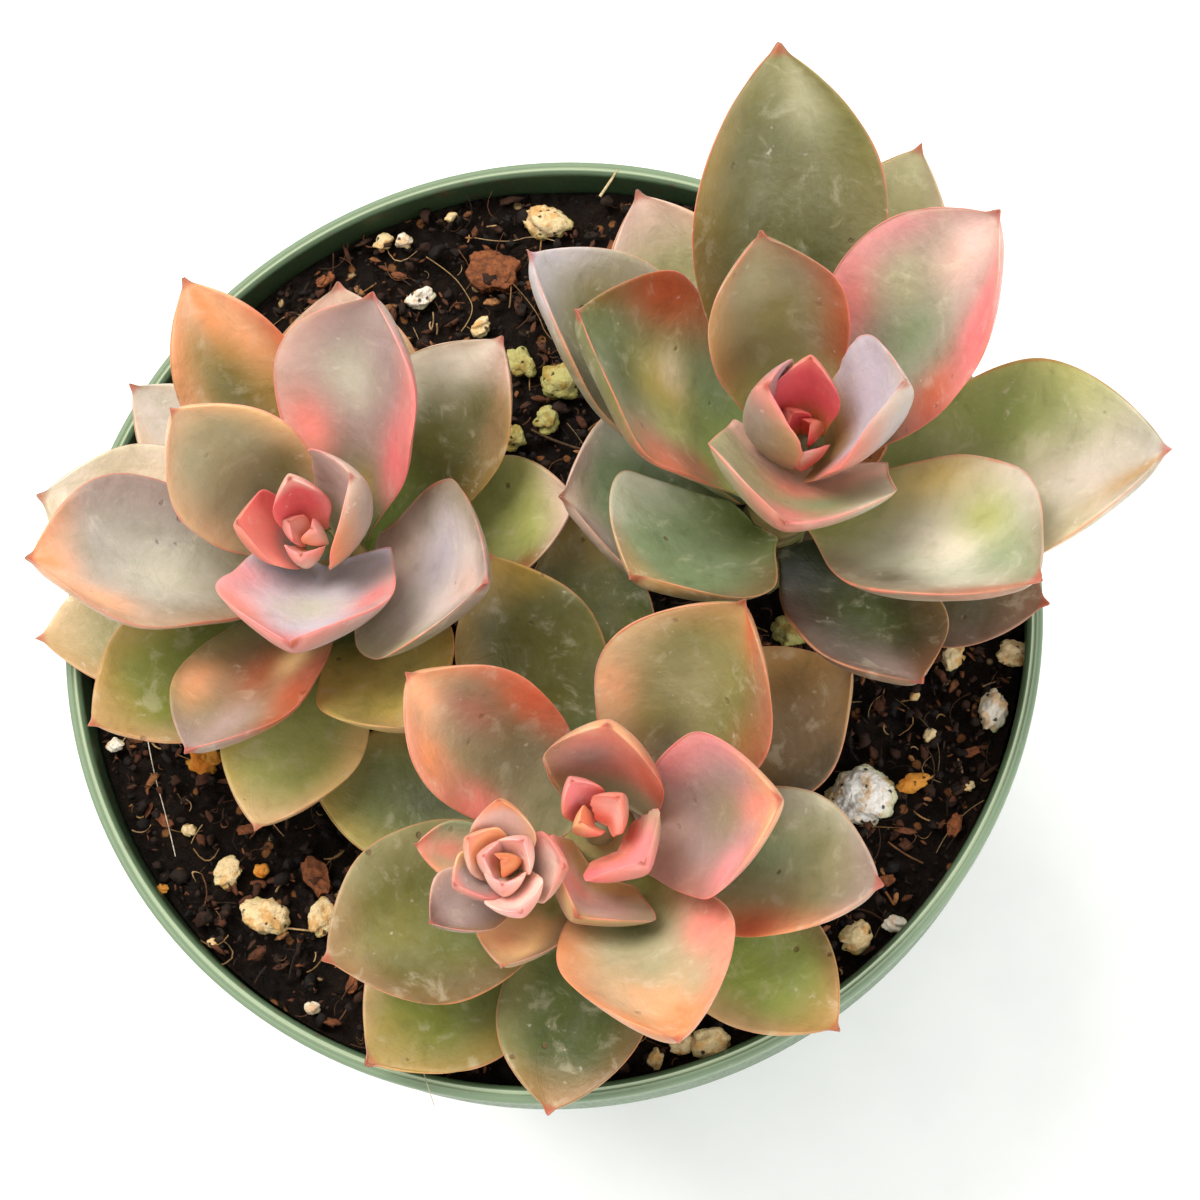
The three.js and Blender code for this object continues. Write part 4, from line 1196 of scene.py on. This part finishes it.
class SUCCULENT_OT_stems(bpy.types.Operator):
    """Models the fleshy stems with their leaf scars"""
    bl_idname = "succulent.stems"
    bl_label = "Stems"

    def execute(self, context):
        material = self.bark_skin()
        for letter in "abc":
            node = f"stem_{letter}"
            take(frame["nodes"][node])
            bpy.ops.object.duplicate()
            stem = named(f"Stem_{letter.upper()}")
            stem.parent = None
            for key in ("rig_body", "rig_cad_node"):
                del stem[key]
            take(stem)
            bpy.ops.object.mode_set(mode="EDIT")
            bpy.ops.mesh.select_all(action="SELECT")
            bpy.ops.mesh.remove_doubles(threshold=1e-6)
            angle = math.radians(60)
            bpy.ops.mesh.tris_convert_to_quads(face_threshold=angle, shape_threshold=angle)
            bpy.ops.object.mode_set(mode="OBJECT")
            modify(stem, "REMESH", mode="VOXEL", voxel_size=0.45 * MM)
            modify(stem, "SMOOTH", iterations=6, factor=0.5)
            self.draw_in(stem)
            swell(stem, lumps("Stem lumps", "CLOUDS", 3 * MM, noise_depth=2), 0.6 * MM)
            finish_piece(stem, material, [node])
        return {"FINISHED"}

    def draw_in(self, stem):
        """Narrows the head of a stem towards its growing tip."""
        co = positions(stem.data)
        top = co[:, 2].max()
        head = co[co[:, 2] > top - 1.5 * MM].mean(0)
        share = 1 - 0.5 * smooth(co[:, 2], top - 5 * MM, top - 0.5 * MM)
        co[:, :2] = head[:2] + (co[:, :2] - head[:2]) * share[:, None]
        place(stem.data, co)

    def bark_skin(self):
        material, tree, shader = new_material("Stem skin")
        where = add(tree, "ShaderNodeTexCoord").outputs["Object"]
        blotch = noise(tree, where, 240, 4, 0.6)
        rings = noise(tree, stretched(tree, where, (0.3, 0.3, 2.5)), 420, 3)
        body = blend(tree, span(tree, blotch, 0.35, 0.65), linear("7c7a44"), linear("a08a58"))
        body = blend(tree, span(tree, rings, 0.52, 0.7, 0.0, 0.7), body, linear("5e4a2e"))
        tree.links.new(body, shader.inputs["Base Color"])
        tree.links.new(span(tree, rings, 0.3, 0.7, 0.55, 0.8), shader.inputs["Roughness"])
        bump(tree, shader, maths(tree, "ADD", rings, blotch), 0.0006, 0.7)
        return material


# ---- Leaves -------------------------------------------------------------------------------------------------

WIDEST = 0.6
CURL = math.radians(12)


class LeafPlace:
    """Where a leaf starts, its lengthwise, crosswise and upward directions, and its length, width and rise."""

    def __init__(self, start, ahead, left, length, width):
        self.start = np.array(start, float)
        self.ahead = np.array(ahead, float)
        self.left = np.array(left, float)
        self.up = np.cross(self.ahead, self.left)
        self.length = length
        self.width = width
        self.rise = math.degrees(math.asin(max(-1.0, min(1.0, float(self.ahead[2])))))

    def opened(self, angle):
        """The same leaf laid further open, with its tip where it was."""
        along = math.sin(CURL) / CURL * self.length
        above = (1 - math.cos(CURL)) / CURL * self.length
        tip = self.start + self.ahead * along + self.up * above
        ahead = self.ahead * math.cos(angle) - self.up * math.sin(angle)
        up = np.cross(ahead, self.left)
        return LeafPlace(tip - ahead * along - up * above, ahead, self.left, self.length, self.width)


def measure_leaf(node, heart):
    """Reads a leaf's place from its node: the end nearer the heart of the rosette is its base."""
    mesh = frame["nodes"][node].data
    corners = np.round(positions(mesh) / 1e-6).astype(np.int64)
    points, index = np.unique(corners, axis=0, return_inverse=True)
    points = points * 1e-6
    index = index.ravel()
    linked = {}
    for face in mesh.polygons:
        ring = [int(index[v]) for v in face.vertices]
        for a, b in zip(ring, ring[1:] + ring[:1]):
            linked.setdefault(a, set()).add(b)
            linked.setdefault(b, set()).add(a)
    ends = sorted(linked, key=lambda v: len(linked[v]))[-2:]
    ends.sort(key=lambda v: math.hypot(points[v][0] - heart[0], points[v][1] - heart[1]))
    base, tip = points[ends[0]], points[ends[1]]
    neck = points[sorted(linked[ends[0]])]
    cap = np.linalg.svd(neck - neck.mean(0))[2][2]
    ahead = cap * np.sign(cap @ (tip - base))
    flat = points - np.outer(points @ ahead, ahead)
    apart = np.linalg.norm(flat[:, None] - flat[None], axis=2)
    one, other = np.unravel_index(apart.argmax(), apart.shape)
    left = (flat[one] - flat[other]) / apart[one, other]
    if np.cross(ahead, left) @ (points[one] - base) < 0:
        left = -left
    length = np.linalg.norm(tip - base) * CURL / (2 * math.sin(CURL / 2))
    start = base + np.cross(ahead, left) * (1.2 * MM + 0.065 * length) * 0.375
    return LeafPlace(start, ahead, left, length, apart[one, other])


def half_width(t, base):
    """Half the width at t along the leaf, as a share of the widest: obovate, drawn out to a point."""
    u = np.clip((t - WIDEST) / (1 - WIDEST), 0, 1)
    lower = base + (1 - base) * np.sin(np.pi / 2 * np.clip(t / WIDEST, 0, 1)) ** 1.3
    upper = (1 - u ** 2.1) ** 0.9
    closed = np.sqrt(np.clip(1 - (1 - np.clip(t / 0.03, 0, 1)) ** 2, 0, 1))
    return np.where(t < WIDEST, lower, upper) * closed


def half_thickness(t):
    body = np.minimum(1, 0.75 + 0.25 * t / 0.3)
    thinning = np.sqrt(np.clip(1 - (np.clip(t - 0.3, 0, 1) / 0.72) ** 2, 0, 1))
    closed = np.sqrt(np.clip(1 - (1 - np.clip(t / 0.03, 0, 1)) ** 2, 0, 1))
    point = np.sqrt(np.clip((1 - t) / 0.05, 0, 1))
    return body * thinning * closed * np.minimum(point, 1) / 2


def leaf_colours(along, across, face, paint, patches):
    """The colour of each point of a leaf, from its painted zones."""
    base, blade, tip, left, right = (np.array(PALETTE[name]) for name in paint.split())

    def lay(colours, colour, amount):
        return colours + (np.asarray(colour) - colours) * np.clip(amount, 0, 1)[:, None]

    colours = np.repeat(base[None], len(along), 0)
    colours = lay(colours, blade, smooth(along, 0.1, 0.46))
    edge = smooth(along, 0.12, 0.4) * 0.8
    colours = lay(colours, left, smooth(across, 0.35, 1.0) * edge)
    colours = lay(colours, right, smooth(-across, 0.35, 1.0) * edge)
    colours = lay(colours, tip, smooth(along, 0.74, 0.98) * 0.85)
    for t, a, size, name in patches:
        spread = ((along - t) / size) ** 2 + ((across - a) / (size * 2.2)) ** 2
        colours = lay(colours, PALETTE[name], np.exp(-spread) * 0.85)
    under = colours * 0.72 + np.array(PALETTE["olive"]) * 0.22
    return lay(colours, under, smooth(-face, 0.1, 0.6))


def model_leaf(name, spot, form, paint, patches, seed, segments=40, rings=44):
    """A thick cupped leaf: a ball drawn out, flattened, cupped, folded and pointed, then smoothed."""
    settings = bpy.context.scene.succulent_leaves
    fold, depth, neck, opening, share = form
    spot = spot.opened(math.radians(opening))
    deselect()
    bpy.ops.mesh.primitive_uv_sphere_add(segments=segments, ring_count=rings, radius=1)
    leaf = named(name)
    ball = positions(leaf.data)
    draw = random.Random(seed)
    t = (1 - ball[:, 2]) / 2
    round_off = np.hypot(ball[:, 0], ball[:, 1])
    round_off[round_off < 1e-9] = 1
    across = np.where(t > 1e-9, ball[:, 0] / round_off, 0)
    face = ball[:, 1] / round_off
    pole = (t < 1e-6) | (t > 1 - 1e-6)
    across[pole] = 0

    length, width = spot.length, spot.width * share
    wide = half_width(t, neck) * width / 2
    thick = (1.2 * MM + 0.065 * length) * half_thickness(t) * 2
    cup = (0.1 + 0.0085 * max(spot.rise, 0)) * depth
    hollow = cup * np.abs(across) ** (2 - 0.75 * fold) * wide
    side = np.sqrt(np.clip(1 - across ** 2, 0, 1))
    rim = np.clip((np.abs(across) - 0.86) / 0.14, 0, 1)
    rounded = settings.rim * (1 - np.sqrt(np.clip(1 - rim ** 2, 0, 1))) * np.minimum(thick / (1.5 * MM), 1)
    keel = fold * 0.35 * thick * np.exp(-(across / 0.25) ** 2)
    upper = -rounded - 0.3 * keel
    lower = -thick * side - keel
    twist = np.sin(2 * np.pi * (1.2 * t + draw.random())) * across * np.abs(across)
    ripple = np.sin(2 * np.pi * (2.1 * t + draw.random())) * across ** 2
    wave = (0.018 * twist + 0.012 * ripple) * width * smooth(t, 0.2, 0.6)
    lift = hollow + np.where(face > 0, upper, lower) + wave
    angle = CURL * t
    back = np.clip(0.05 - t, 0, 0.05) * length * 0.6
    x = np.sin(angle) / CURL * length - lift * np.sin(angle) - back
    z = (1 - np.cos(angle)) / CURL * length + lift * np.cos(angle)
    sharp = smooth(t, 0.988, 1.0) * settings.spine * min(1, length / (20 * MM))
    x += sharp
    z += sharp * 0.35
    y = across * wide * (1 + 0.02 * np.sin(2 * np.pi * (1.7 * t + draw.random())))
    local = np.stack([x, y, z], 1)
    place(leaf.data, local @ np.array([spot.ahead, spot.left, spot.up]) + spot.start)
    keep(leaf.data, "along", t)
    keep(leaf.data, "across", across)
    keep(leaf.data, "face", np.where(pole, 0.3, face))
    take(leaf)
    bpy.ops.object.mode_set(mode="EDIT")
    bpy.ops.mesh.select_all(action="SELECT")
    bpy.ops.mesh.flip_normals()
    bpy.ops.object.mode_set(mode="OBJECT")
    subdivide(leaf, 1)
    if length > 8 * MM:
        swell(leaf, lumps("Leaf swellings", "CLOUDS", 9 * MM, noise_depth=1), settings.dents)
    mesh = leaf.data
    tint(mesh, leaf_colours(kept(mesh, "along"), kept(mesh, "across"), kept(mesh, "face"), paint, patches))
    return leaf


def heart_of(letter):
    low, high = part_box(f"bud_{letter}")
    return (low + high) / 2


class SUCCULENT_OT_leaves(bpy.types.Operator):
    """Models every grown leaf of the rosettes in its place"""
    bl_idname = "succulent.leaves"
    bl_label = "Leaves"

    def execute(self, context):
        slots = {row["node"]: row["material_slot"] for row in frame["record"]["subparts"]}
        materials = {
            "outer_leaf": leaf_material("Outer leaf skin", 1.0, 1.0, 0.9),
            "middle_leaf": leaf_material("Middle leaf skin", 1.2, 0.8, 0.5, linear("cf6f58")),
            "young_leaf": leaf_material("Young leaf skin", 0.9, 0.5, 0.25, linear("e4706c"), 0.3),
        }
        for i, (code, paint) in enumerate(LEAF_PAINT.items()):
            node = f"leaf_{code}"
            spot = measure_leaf(node, heart_of(code[0]))
            form = LEAF_FORM.get(code, (min(max((spot.rise - 30) / 60, 0.05), 0.4), 1.0, 0.35, 0, 1))
            leaf = model_leaf(f"Leaf_{code.upper()}", spot, form, paint, LEAF_PATCHES_AND_PAINTED_LIGHT.get(code, []), 100 + i)
            finish_piece(leaf, materials[slots[node]], [node])
        return {"FINISHED"}


class SUCCULENT_OT_young_leaves(bpy.types.Operator):
    """Models the folded young leaves round each growing tip"""
    bl_idname = "succulent.young_leaves"
    bl_label = "Young leaves"

    def execute(self, context):
        material = bpy.data.materials["Young leaf skin"]
        for node, rows in YOUNG_LEAVES.items():
            low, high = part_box(node)
            foot = Vector(((low.x + high.x) / 2, (low.y + high.y) / 2, low.z))
            made = [self.core(node, foot, rows)]
            for i, (x, y, z, turn, rise, length, width, roll, fold, paint) in enumerate(rows):
                start = foot + Vector((x, y, z)) * MM
                lean = Matrix.Rotation(math.radians(-rise), 3, "Y")
                turned = Matrix.Rotation(math.radians(turn), 3, "Z") @ lean
                turned = turned @ Matrix.Rotation(math.radians(roll), 3, "X")
                ahead, left = turned @ Vector((1, 0, 0)), turned @ Vector((0, 1, 0))
                spot = LeafPlace(start, ahead, left, length * MM, width * MM)
                made.append(model_leaf(f"{node}_{i}", spot, (fold, 0.8, 0.6, 0, 1), paint, [], 300 + i, 32, 32))
            finish_piece(join(made, node.replace("bud", "Young_leaves")), material, [node])
        return {"FINISHED"}

    def core(self, node, foot, rows):
        """The growing point that the young leaves stand round."""
        inner = rows[-1]
        deselect()
        bpy.ops.mesh.primitive_uv_sphere_add(segments=24, ring_count=16, radius=1)
        core = named(f"{node}_core")
        co = positions(core.data)
        middle = foot + Vector((inner[0], inner[1], inner[2] - 1.6)) * MM
        co = co * np.array((1.7, 1.7, 2.0)) * MM + np.array(middle)
        place(core.data, co)
        count = len(co)
        keep(core.data, "along", np.full(count, 0.3))
        keep(core.data, "across", np.zeros(count))
        keep(core.data, "face", np.ones(count))
        tint(core.data, np.array(PALETTE["celadon"]))
        return core


# ---- Panel and running --------------------------------------------------------------------------------------

OPERATORS = (
    SUCCULENT_OT_stage, SUCCULENT_OT_pot, SUCCULENT_OT_soil, SUCCULENT_OT_perlite, SUCCULENT_OT_bark,
    SUCCULENT_OT_litter, SUCCULENT_OT_stems, SUCCULENT_OT_leaves, SUCCULENT_OT_young_leaves,
)


class VIEW3D_PT_potted_succulent(bpy.types.Panel):
    """The steps and settings of the potted succulent"""
    bl_label = "Potted succulent"
    bl_idname = "VIEW3D_PT_potted_succulent"
    bl_space_type = "VIEW_3D"
    bl_region_type = "UI"
    bl_category = "Succulent"

    def draw(self, context):
        for operator in OPERATORS:
            self.layout.operator(operator.bl_idname)
        for name, group in SETTINGS.items():
            box = self.layout.box()
            for label in group.__annotations__:
                box.prop(getattr(context.scene, name), label)


SETTINGS = {
    "succulent_leaves": SucculentLeafSettings,
    "succulent_pot": SucculentPotSettings,
    "succulent_soil": SucculentSoilSettings,
    "succulent_stage": SucculentStageSettings,
}


def register():
    for cls in (*SETTINGS.values(), *OPERATORS, VIEW3D_PT_potted_succulent):
        bpy.utils.register_class(cls)
    for name, group in SETTINGS.items():
        setattr(bpy.types.Scene, name, PointerProperty(type=group))


def unregister():
    for name in SETTINGS:
        delattr(bpy.types.Scene, name)
    for cls in reversed((*SETTINGS.values(), *OPERATORS, VIEW3D_PT_potted_succulent)):
        bpy.utils.unregister_class(cls)


def main():
    register()
    for operator in OPERATORS:
        group, name = operator.bl_idname.split(".")
        getattr(getattr(bpy.ops, group), name)()
    deselect()


if __name__ == "__main__":
    main()
